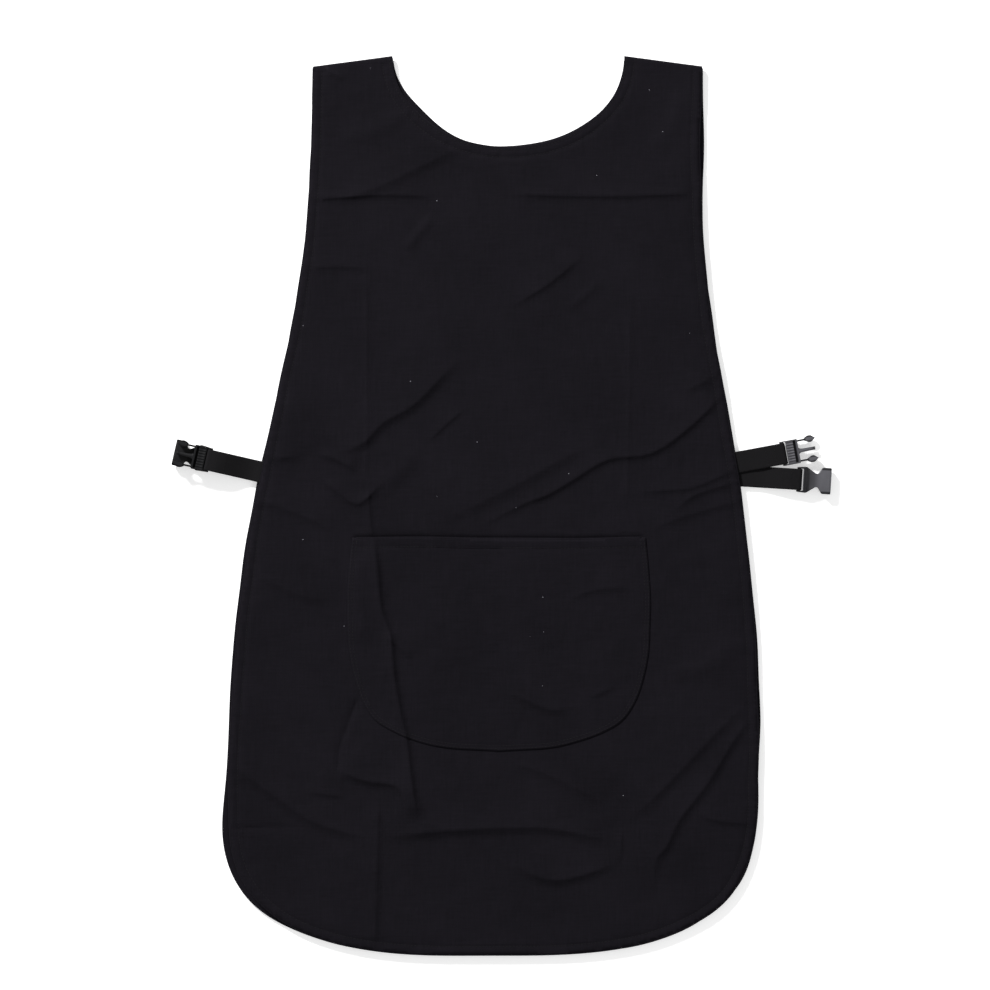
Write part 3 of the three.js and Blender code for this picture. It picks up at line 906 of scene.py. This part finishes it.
for label, side in (("left", -1), ("right", 1)):
    # seam allowances pressed down on the back
    inner = panel["neckX"] + side * (panel["neckHalf"] + 10.4)
    outer = middleAt(shoulderEndY) + side * (panel["halfShoulder"] - 10.7)
    run = resample([(inner, 0), (outer, 0)], 3.0)
    run[:, 1] = shoulderLineY(run[:, 0]) - 0.5
    inward = np.tile([0.0, -1.0], (len(run), 1))
    base = edgeHeights(backTop, run, inward) - panel["thick"]
    addBand(f"{label}_shoulder_allowance", run, inward, base, 1, f"{label}_shoulder_seam", "back")
print("stage: hems")


# shoulders: the cloth turns from the front over to the back

shoulder = {"thick": 0.6, "reach": 2.2, "overlap": 3.0, "columns": 30, "turns": 15, "lift": 0.04}


def addShoulderFold(name, side):
    inner = panel["neckX"] + side * panel["neckHalf"]
    outer = middleAt(shoulderEndY) + side * panel["halfShoulder"]
    thick, lift = shoulder["thick"], shoulder["lift"]
    rows = []
    for x in np.linspace(min(inner, outer), max(inner, outer), shoulder["columns"]):
        y = float(shoulderLineY(np.array([x]))[0])
        seamY = y - 0.4
        # the strip's ends lie on the front and under the back
        endY = y - 1.0 - shoulder["overlap"]
        start, top = frontTop([x, x], [endY, y - 0.5])
        low = float(backTop([x], [y - 3.0])[0]) - thick
        mid, half = (top + low) / 2, (top - low) / 2

        def bend(degrees, reach, rise):
            # half a turn about the seam
            a = np.radians(np.linspace(*degrees, shoulder["turns"]))
            return list(zip(seamY + reach * np.cos(a), mid + rise * np.sin(a)))

        outerBend = bend((90, -90), shoulder["reach"], half + lift)
        innerBend = bend((-90, 90), max(0.4, shoulder["reach"] - thick), half - thick)
        outline = [(endY, start + 0.03), *outerBend, (endY, low - lift)]
        inside = [(endY, low + thick), *innerBend, (endY, start - 0.1)]
        rows.append([(x, *p) for p in outline + inside])
    rows = np.array(rows)
    obj = meshFrom(name, rows.reshape(-1, 3), tubeFaces(*rows.shape[:2]), clothFront)
    turnOutwards(obj)
    obj.data.set_sharp_from_angle(angle=math.radians(40))
    middle = (inner + outer) / 2 * mm
    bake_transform(obj)
    return obj


addShoulderFold("left_shoulder_fold", -1)
addShoulderFold("right_shoulder_fold", 1)
print("stage: shoulders")


# pocket

def pocketRun():
    # down the left side, round the bottom and up the right side
    curve = splineThrough(pocket["curve"], 120)
    half = np.column_stack([
        pocket["x"] - curve[:, 0] * pocket["half"], pocket["top"] - curve[:, 1] * pocket["depth"],
    ])
    other = half[:-1][::-1] * [-1, 1] + [2 * pocket["x"], 0]
    run = resample(np.vstack([half, other]), 2.6)
    sway = 0.35 * waves(run[:, 0], run[:, 1], 51, 50.0)
    return run - sway[:, None] * normalsOf(run) * easedEnds(run, 10.0)[:, None]


pocketEdge = pocketRun()
pocketTree = treeOf(resample(pocketEdge, 0.8))


def pocketTopAt(x, y):
    x, y = np.asarray(x, float), np.asarray(y, float)
    edge = distanceTo(pocketTree, x, y)
    drop = openingY(x) - y
    inner = smooth((edge - 5) / 30)
    gape = pocket["gape"] * inner * np.exp(-np.maximum(drop, 0) / 16)
    puff = pocket["puff"] * inner * smooth(drop / 30) * (0.7 + 0.3 * waves(x, y, 61, 80.0))
    rise = frontBase(x, y) + pocket["thick"] + pocket["clear"] + gape + puff
    # double row of stitches round the edge, one row under the opening
    rise += 0.15 * np.clip(1 - (edge / 6.4) ** 4, 0, 1)
    for row in (pocket["edgeStitch"], pocket["innerStitch"]):
        rise -= 0.26 * np.exp(-(((edge - row) / 0.9) ** 2))
    rise += 0.15 * np.clip(1 - (drop / pocket["topStitch"]) ** 6, 0, 1)
    rise -= 0.2 * np.exp(-(((drop - pocket["topStitch"]) / 1.0) ** 2))
    rise += 0.12 * np.exp(-(((drop - 7) / 6) ** 2)) * waves(x, y, 62, 12.0)
    return rise


def insetPocket(gap):
    run = resample(pocketEdge + gap * normalsOf(pocketEdge), 2.4)
    return run[run[:, 1] < openingY(run[:, 0]) - 0.8]


topRun = resample([pocketEdge[-1], pocketEdge[0]], 2.6)
topRun[:, 1] = openingY(topRun[:, 0])
pocketOutline = np.vstack([pocketEdge[:-1], topRun[:-1]])
rowX = topRun[::-1, 0][3:-3]


def rowUnder(drop):
    return np.column_stack([rowX, openingY(rowX) - drop])


pocketGuides = [insetPocket(g) for g in (1.6, 3.0, 4.6, 6.0)]
topRows = [rowUnder(d) for d in (7.9, pocket["topStitch"], 10.1)]
topRows = [r[distanceTo(pocketTree, r[:, 0], r[:, 1]) > 7.2] for r in topRows]


def clearOfPocketEdges(x, y):
    inner = insideOf(pocketOutline, x, y) & (distanceTo(pocketTree, x, y) > 8)
    return inner & (y < openingY(x) - 12)


pocketGuides += topRows + foldGuides(clearOfPocketEdges)
plan, tris = cutCloth(pocketOutline, pocketGuides, pocket["spacing"])
pocketPiece = thicken(
    "pocket_cloth", plan, tris, pocketTopAt(plan[:, 0], plan[:, 1]), pocket["thick"], clothFront
)
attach(pocketPiece, "front")
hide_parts("pocket")

# the top edge is turned under
hemHalf = pocket["half"] - 8
hemX = np.linspace(pocket["x"] - hemHalf, pocket["x"] + hemHalf, 100)
foldRun = np.column_stack([hemX, openingY(hemX)])
down = np.tile([0.0, -1.0], (len(foldRun), 1))
foldBase = edgeHeights(pocketTopAt, foldRun, down) + 0.02
foldSection = np.array([
    (0.7, 0.05), (0.0, 0.02), (-0.35, -0.3), (-0.35, -0.7), (0.1, -1.0), (9.4, -1.0), (9.8, -0.8),
    (9.4, -0.62), (2.0, -0.62),
])
foldPiece = sweep(
    "pocket_top_band", np.column_stack([foldRun, foldBase]),
    np.column_stack([down, np.zeros(len(hemX))]), np.tile([0.0, 0.0, 1.0], (len(hemX), 1)),
    foldSection, clothFront,
)
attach(foldPiece, "front")
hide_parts("pocket_hem")
print("stage: pocket", len(pocketPiece.data.polygons))


# stitches

sewing = {"pitch": 3.2, "length": 2.6, "thread": 0.5}


def stitchTree():
    tree = bpy.data.node_groups.new("stitchRow", "GeometryNodeTree")
    for label, kind, direction in [
        ("Runs", "NodeSocketGeometry", "INPUT"), ("Pitch", "NodeSocketFloat", "INPUT"),
        ("Stitch Length", "NodeSocketFloat", "INPUT"), ("Thread", "NodeSocketFloat", "INPUT"),
        ("Material", "NodeSocketMaterial", "INPUT"), ("Stitches", "NodeSocketGeometry", "OUTPUT"),
    ]:
        tree.interface.new_socket(label, in_out=direction, socket_type=kind)
    nodes, links = tree.nodes, tree.links
    given, out = nodes.new("NodeGroupInput"), nodes.new("NodeGroupOutput")
    curve = nodes.new("GeometryNodeMeshToCurve")
    even = nodes.new("GeometryNodeResampleCurve")
    even.mode = "LENGTH"
    bead = nodes.new("GeometryNodeMeshUVSphere")
    bead.inputs["Segments"].default_value = 6
    bead.inputs["Rings"].default_value = 4
    bead.inputs["Radius"].default_value = 0.5
    size = nodes.new("ShaderNodeCombineXYZ")
    tangent = nodes.new("GeometryNodeInputTangent")
    aim = nodes.new("FunctionNodeAlignRotationToVector")
    aim.axis = "X"
    place = nodes.new("GeometryNodeInstanceOnPoints")
    real = nodes.new("GeometryNodeRealizeInstances")
    soft = nodes.new("GeometryNodeSetShadeSmooth")
    paint = nodes.new("GeometryNodeSetMaterial")
    links.new(given.outputs["Runs"], curve.inputs[0])
    links.new(curve.outputs[0], even.inputs["Curve"])
    links.new(given.outputs["Pitch"], even.inputs["Length"])
    links.new(even.outputs[0], place.inputs["Points"])
    links.new(bead.outputs["Mesh"], place.inputs["Instance"])
    links.new(given.outputs["Stitch Length"], size.inputs[0])
    links.new(given.outputs["Thread"], size.inputs[1])
    links.new(given.outputs["Thread"], size.inputs[2])
    links.new(tangent.outputs[0], aim.inputs["Vector"])
    links.new(aim.outputs[0], place.inputs["Rotation"])
    links.new(size.outputs[0], place.inputs["Scale"])
    links.new(place.outputs[0], real.inputs[0])
    links.new(real.outputs[0], soft.inputs[0])
    links.new(soft.outputs[0], paint.inputs["Geometry"])
    links.new(given.outputs["Material"], paint.inputs["Material"])
    links.new(paint.outputs[0], out.inputs[0])
    return tree


stitchNodes = stitchTree()


def evaluated(obj):
    graph = bpy.context.evaluated_depsgraph_get()
    graph.update()
    return bpy.data.meshes.new_from_object(obj.evaluated_get(graph))


def addStitches(name, runs):
    # each run is a row of points in millimetres
    verts, edges = [], []
    for run in runs:
        first = len(verts)
        verts += (np.asarray(run) * mm).tolist()
        edges += [(first + i, first + i + 1) for i in range(len(run) - 1)]
    mesh = bpy.data.meshes.new(name)
    mesh.from_pydata(verts, edges, [])
    guide = bpy.data.objects.new(name + "_runs", mesh)
    scene.collection.objects.link(guide)
    modifier = guide.modifiers.new("stitchRow", "NODES")
    modifier.node_group = stitchNodes
    given = {"Pitch": sewing["pitch"] * mm, "Stitch Length": sewing["length"] * mm,
             "Thread": sewing["thread"] * mm, "Material": threadMaterial}
    for item in stitchNodes.interface.items_tree:
        if item.name in given:
            modifier[item.identifier] = given[item.name]
    made = evaluated(guide)
    made.name = name
    bpy.data.objects.remove(guide)
    obj = bpy.data.objects.new(name, made)
    scene.collection.objects.link(obj)
    return obj


def lifted(run, heightAt, by):
    return np.column_stack([run, heightAt(run[:, 0], run[:, 1]) + by])


proud = 0.04  # how far the thread's middle stands over the cloth
frontRuns = [
    lifted(frontCut.insetHem(panel["stitch"]), frontTop, proud),
    lifted(frontCut.insetNeck(panel["neckStitch"]), frontTop, proud),
    lifted(frontCut.insetNeck(panel["neckEdgeStitch"]), frontTop, proud),
    lifted(insetPocket(pocket["edgeStitch"]), pocketTopAt, proud),
    lifted(insetPocket(pocket["innerStitch"]), pocketTopAt, proud),
    lifted(topRows[1], pocketTopAt, proud),
]
# the same rows seen on the turned side of each hem
underFront = [run - [0, 0, 2.0] for run in frontRuns[:2]]
backRuns = []
for run in (backCut.insetHem(panel["stitch"]), backCut.insetNeck(panel["neckStitch"])):
    backRuns.append(lifted(run, backTop, 1.42))
    backRuns.append(lifted(run, backTop, -panel["thick"] + 0.02))
frontStitches = addStitches("front_stitches", frontRuns + underFront)
backStitches = addStitches("back_stitches", backRuns)
for obj, body in ((frontStitches, "front"), (backStitches, "back")):
    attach(obj, body)
print("stage: stitches", len(frontStitches.data.polygons), len(backStitches.data.polygons))


# webbing straps

strap = {
    "width": 20.0, "thick": 1.15, "tail": 15.0, "root": 6.0, "loopRadius": 3.1,
    "tackInsets": (4.4, 12.6), "tackHalf": 8.2,
}
# the panel that each strap is sewn to, its layer, where it starts to rise and the joint at its bar
straps = {
    "left_front": dict(body="front", low=2.6, rise=6.0, swing="left_clip_swing"),
    "left_back": dict(body="back", low=1.1, rise=6.0, swing="left_socket_swing"),
    "right_front": dict(body="front", low=2.6, rise=10.0, swing="right_clip_swing"),
    "right_back": dict(body="back", low=1.1, rise=14.0, swing="right_socket_swing"),
}
jointAt = {j["name"]: np.array(j["pos_m"]) / mm for j in frame["record"]["behaviour"]["joints"]}
for label, facts in straps.items():
    fold, bar = jointAt[f"{label}_strap_fold"], jointAt[facts["swing"]]
    facts["origin"] = fold[:2]
    facts["barZ"] = bar[2]
    facts["reach"] = float(np.linalg.norm(bar[:2] - fold[:2]))
    facts["along"] = (bar[:2] - fold[:2]) / facts["reach"]
    facts["across"] = np.array([-facts["along"][1], facts["along"][0]])


def strapPath(f):
    # centreline as (along, up): out from inside the hem, over and round the bar, back beneath
    coil = strap["loopRadius"] - strap["thick"] / 2 - 0.02
    startZ = f["low"] + 0.6
    endU = f["reach"] - strap["loopRadius"] - 2
    tailU = f["reach"] - strap["loopRadius"] - strap["tail"]
    layer = strap["thick"] + 0.05

    def outZ(u):
        t = (u - f["rise"]) / (endU - f["rise"])
        return startZ + (f["barZ"] + coil - startZ) * smooth(t)

    def tailZ(u):
        # the tail lies under the other layer and parts from it at the loop
        closed = smooth((f["reach"] - u) / (2.6 * strap["loopRadius"]))
        return (f["barZ"] - coil) * (1 - closed) + (outZ(u) - layer) * closed

    u = np.arange(-strap["root"], f["reach"], 0.7)
    back = np.arange(f["reach"] - 0.6, tailU, -0.6)
    turn = np.radians(np.linspace(90, -90, 18))
    loop = np.column_stack([f["reach"] + coil * np.cos(turn), f["barZ"] + coil * np.sin(turn)])
    return np.column_stack([u, outZ(u)]), loop, np.column_stack([back, tailZ(back)])


def worldPoint(f, u, v, z):
    x, y = f["origin"] + f["along"] * u + f["across"] * v
    return Vector((x * mm, y * mm, z * mm))


def addStrap(label, f):
    path = np.vstack(strapPath(f))
    step = np.gradient(path, axis=0)
    step /= np.linalg.norm(step, axis=1)[:, None]
    centres = np.column_stack([
        f["origin"][None, :] + path[:, :1] * f["along"][None, :], path[:, 1],
    ])
    sides = np.tile([f["across"][0], f["across"][1], 0.0], (len(path), 1))
    ups = np.column_stack([
        -step[:, 1:2] * f["along"][None, :], step[:, 0],
    ])
    half, t = strap["width"] / 2, strap["thick"] / 2
    section = []
    for v in np.linspace(-half + 0.6, half - 0.6, 15):
        section.append((v, t))
    section += [(half - 0.15, t * 0.75), (half, 0.0), (half - 0.15, -t * 0.75)]
    for v in np.linspace(half - 0.6, -half + 0.6, 15):
        section.append((v, -t))
    section += [(-half + 0.15, -t * 0.75), (-half, 0.0), (-half + 0.15, t * 0.75)]
    section = np.array(section)
    obj = sweep(f"{label}_webbing", centres, sides, ups, section, webbingMaterial)
    # u along the webbing and v across it, in metres
    run = np.concatenate([[0], np.cumsum(np.linalg.norm(np.diff(path, axis=0), axis=1))])
    k = len(section)
    layer = obj.data.uv_layers.new(name="UVMap")
    for loop in obj.data.loops:
        ring, j = divmod(loop.vertex_index, k)
        layer.data[loop.index].uv = (run[ring] * mm, section[j][0] * mm)
    worldPoint(f, -0.5, 0, f["low"])
    worldPoint(f, 11.0, 0, f["low"])
    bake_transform(obj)
    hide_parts(f"{label}_strap", f"{label}_strap_end")
    return obj


def addTacks(label, f):
    # two rows of stitches hold the tail down
    out, _, back = strapPath(f)
    rowsOfStitches = []
    for inset in strap["tackInsets"]:
        u = f["reach"] - strap["loopRadius"] - inset
        over = np.interp(u, out[:, 0], out[:, 1]) + strap["thick"] / 2 + 0.02
        under = np.interp(u, back[::-1, 0], back[::-1, 1]) - strap["thick"] / 2 - 0.02
        for z in (over, under):
            ends = [worldPoint(f, u, v, z) / mm for v in (-strap["tackHalf"], strap["tackHalf"])]
            rowsOfStitches.append(resample([list(e) for e in ends], 2.0))
    obj = addStitches(f"{label}_tack_stitches", rowsOfStitches)
    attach(obj, f"{label}_strap")


for label, facts in straps.items():
    addStrap(label, facts)
    addTacks(label, facts)
print("stage: straps")


# buckles

buckle = {
    "voxel": 0.26, "fineVoxel": 0.2, "beamEnd": 15.0, "armMiddle": 9.6, "rootSides": (8.7, 10.4),
}


def toLocal(co, f):
    # metres in the frame to millimetres from the middle of the bar
    flat = co[:, :2] / mm - f["origin"]
    return np.column_stack([
        flat @ f["along"] - f["reach"], flat @ f["across"], co[:, 2] / mm - f["barZ"],
    ])


def toWorld(local, f):
    flat = f["origin"] + (local[:, :1] + f["reach"]) * f["along"] + local[:, 1:2] * f["across"]
    return np.column_stack([flat, local[:, 2:] + f["barZ"]]) * mm


def moulded(name, node, f, voxel, rounds, material, rub, extra=None, reshape=None):
    # a moulded piece: the solid in the frame with its edges rounded over
    bm = bmesh.new()
    bm.from_mesh(frame["nodes"][node].data)
    bmesh.ops.remove_doubles(bm, verts=bm.verts, dist=1e-6)
    mesh = bpy.data.meshes.new(name)
    bm.to_mesh(mesh)
    bm.free()
    work = bpy.data.objects.new(name + "_work", mesh)
    scene.collection.objects.link(work)
    tools = []
    for x0, x1, y0, y1, z0, z1 in extra or []:
        local = np.array([(x, y, z) for x in (x0, x1) for y in (y0, y1) for z in (z0, z1)], float)
        faces = [(0, 1, 3, 2), (4, 6, 7, 5), (0, 4, 5, 1), (2, 3, 7, 6), (0, 2, 6, 4), (1, 5, 7, 3)]
        tool = meshFrom(name + "_tool", toWorld(local, f) / mm, faces, material)
        tools.append(tool)
        union = work.modifiers.new("union", "BOOLEAN")
        union.operation, union.object, union.solver = "UNION", tool, "EXACT"
    remesh = work.modifiers.new("remesh", "REMESH")
    remesh.mode, remesh.voxel_size = "VOXEL", voxel * mm
    soften = work.modifiers.new("soften", "SMOOTH")
    soften.factor, soften.iterations = 0.5, rounds
    made = evaluated(work)
    bpy.data.objects.remove(work)
    for tool in tools:
        bpy.data.objects.remove(tool)
    local = toLocal(np.array([v.co for v in made.vertices], float), f)
    # the point attribute holds the painted light that the given function works out: painted
    # highlights and painted shade
    shine = made.attributes.new("rub", "FLOAT", "POINT")
    shine.data.foreach_set("value", np.clip(rub(local), 0, 1).astype(np.float32))
    if reshape:
        made.vertices.foreach_set("co", toWorld(reshape(local), f).astype(np.float32).ravel())
        made.update()
    made.materials.clear()
    made.shade_smooth()
    obj = newObject(name, made, material)
    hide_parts(node)
    return obj


def shapeSocket(p):
    # the shell swells from its neck, is dished on its flat and has a shallow lip at the mouth
    u, v, z = p.T
    face = np.sign(z) * smooth((np.abs(z) - 2.4) / 1.0)
    slope = -1.25 * (1 - smooth((u - 7.6) / 6.5))
    dish = -0.5 * np.exp(-(((u - 15.0) / 5.0) ** 2)) * (1 - smooth((np.abs(v) - 4.5) / 4.0))
    crown = -0.55 * smooth(np.abs(v) / 12.4) ** 2
    lip = -0.3 * smooth((u - 28.6) / 0.5)
    return np.column_stack([u, v, z + face * (slope + dish + crown + lip)])


# painted light on the socket: a painted highlight along the bar, and painted shade that darkens the
# shell towards the slot, along the sides of the mouth block and on the walls between the flat faces
def paintedLightSocket(p):
    u, v, z = p.T
    barHighlight = np.exp(-(((u - 3.9) / 0.5) ** 2)) * 0.9
    body = smooth((u - 9.0) / 13.0) * 0.8 + 0.2 * smooth((u - 9.0) / 1.5)
    sides = 1 - 0.92 * smooth((np.abs(v) - 9.6) / 0.9) * smooth((u - 19.5) / 1.5)
    faces = 0.35 + 0.65 * smooth((np.abs(z) - 1.6) / 1.2)
    return np.maximum(body * sides * faces, barHighlight * (np.abs(v) < 10.2))


def shapeClip(p):
    # the ribbed grip is dished, with a deep groove between it and the front rim; the prong has
    # a ridge along it and grows out of the rim in a fillet
    u, v, z = p.T
    top = smooth((z - 0.9) / 0.8)
    groove = -2.5 * np.exp(-(((u - 11.9) / 0.95) ** 4)) * (1 - smooth((np.abs(v) - 9.9) / 0.5))
    dish = -0.35 * np.exp(-(((u - 7.2) / 2.6) ** 2)) * (1 - smooth((np.abs(v) - 8.6) / 2.0))
    onProng = u > 15.15
    past = smooth((u - 15.4) / 15.0)
    fillet = 1 + 0.8 * np.exp(-np.maximum(u - buckle["beamEnd"], 0) / 1.2)
    broad = np.where(onProng, (1 - 0.10 * past) * fillet, 1)
    ridge = np.where(onProng, 0.55 * top * (1 - np.clip(np.abs(v) / 1.7, 0, 1)), 0)
    flatter = np.where(onProng, 1 - 0.12 * past, 1)
    return np.column_stack([u, v * broad, z * flatter + top * (groove + dish) + ridge])


# painted light on the clip: the top of the grip and a band at the front rim painted lighter,
# painted shade in the groove and on the side walls, and a painted highlight along the middle of the
# prong, which is painted darker towards its tip
def paintedLightClip(p):
    u, v, z = p.T
    grip = 0.45 + 0.55 * smooth((z - 2.1) / 0.4)
    grooveShade = np.exp(-(((u - 11.9) / 1.25) ** 4)) * (np.abs(v) < 10.4)
    front = np.exp(-(((u - 14.6) / 0.9) ** 2)) * 0.35
    prong = 0.72 - 0.6 * smooth((u - 26.5) / 2.5) + 0.25 * np.exp(-((v / 0.6) ** 2))
    sides = 1 - 0.8 * smooth((np.abs(v) - 10.9) / 0.4)
    return np.where(u > 15.3, prong, np.clip((grip + front) * (1 - grooveShade), 0, 1) * sides)


def shapeArm(p):
    # the leaf comes to a point
    u, v, z = p.T
    middle = np.sign(v) * buckle["armMiddle"]
    leaf = smooth((u - 21.5) / 1.5)
    point = 1 - 0.5 * smooth((u - 28.0) / 3.9)
    heart = 1 + 0.1 * np.exp(-(((u - 26.0) / 2.2) ** 2))
    domed = 1 - 0.16 * leaf * np.clip(np.abs(v - middle) / 3.2, 0, 1) ** 2
    broad = np.where(leaf > 0, point * heart, 1)
    return np.column_stack([u, middle + (v - middle) * broad, z * domed])


# painted light on an arm: the leaf painted pale in its middle, with painted shade round its edges,
# at its tip and along the stem before the leaf
def paintedLightArm(p):
    u, v, z = p.T
    middle = np.sign(v) * buckle["armMiddle"]
    inside = 1 - smooth((np.abs(v - middle) - 0.9) / 1.2)
    tip = 1 - 0.6 * smooth((u - 29.8) / 1.4)
    return (0.03 + 0.97 * smooth((u - 22.2) / 1.6)) * (0.1 + 0.9 * inside) * tip


# the left buckles take the shaded copy of the plastic, with painted shade, and the right buckles
# take the lit copy, with painted highlights
for label, f, material in [
    ("left", straps["left_back"], acetalShadedCopy), ("right", straps["right_back"], litAcetal),
]:
    obj = moulded(f"{label}_socket_shell", f"{label}_socket", f, buckle["voxel"], 5, material,
                  paintedLightSocket, reshape=shapeSocket)
    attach(obj, f"{label}_socket")

for label, f, material in [
    ("left", straps["left_front"], acetalShadedCopy), ("right", straps["right_front"], litAcetal),
]:
    obj = moulded(f"{label}_clip_frame_body", f"{label}_clip_frame", f, buckle["fineVoxel"], 3,
                  material, paintedLightClip, reshape=shapeClip)
    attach(obj, f"{label}_clip")
    upper = -1 if label == "left" else 1
    for part, side in (("upper", upper), ("lower", -upper)):
        # the arm grows out of the frame
        low, high = sorted(side * v for v in buckle["rootSides"])
        root = [buckle["beamEnd"] - 0.9, buckle["beamEnd"] + 0.6, low, high, -2.0, 2.0]
        arm = moulded(f"{label}_clip_{part}_arm_leaf", f"{label}_clip_{part}_arm", f,
                      buckle["fineVoxel"], 2, material, paintedLightArm, extra=[root], reshape=shapeArm)
        worldPoint(f, f["reach"] + 14.6, side * 9.5, f["barZ"])
        worldPoint(f, f["reach"] + 22.0, side * 9.5, f["barZ"])
        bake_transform(arm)
print("stage: buckles")
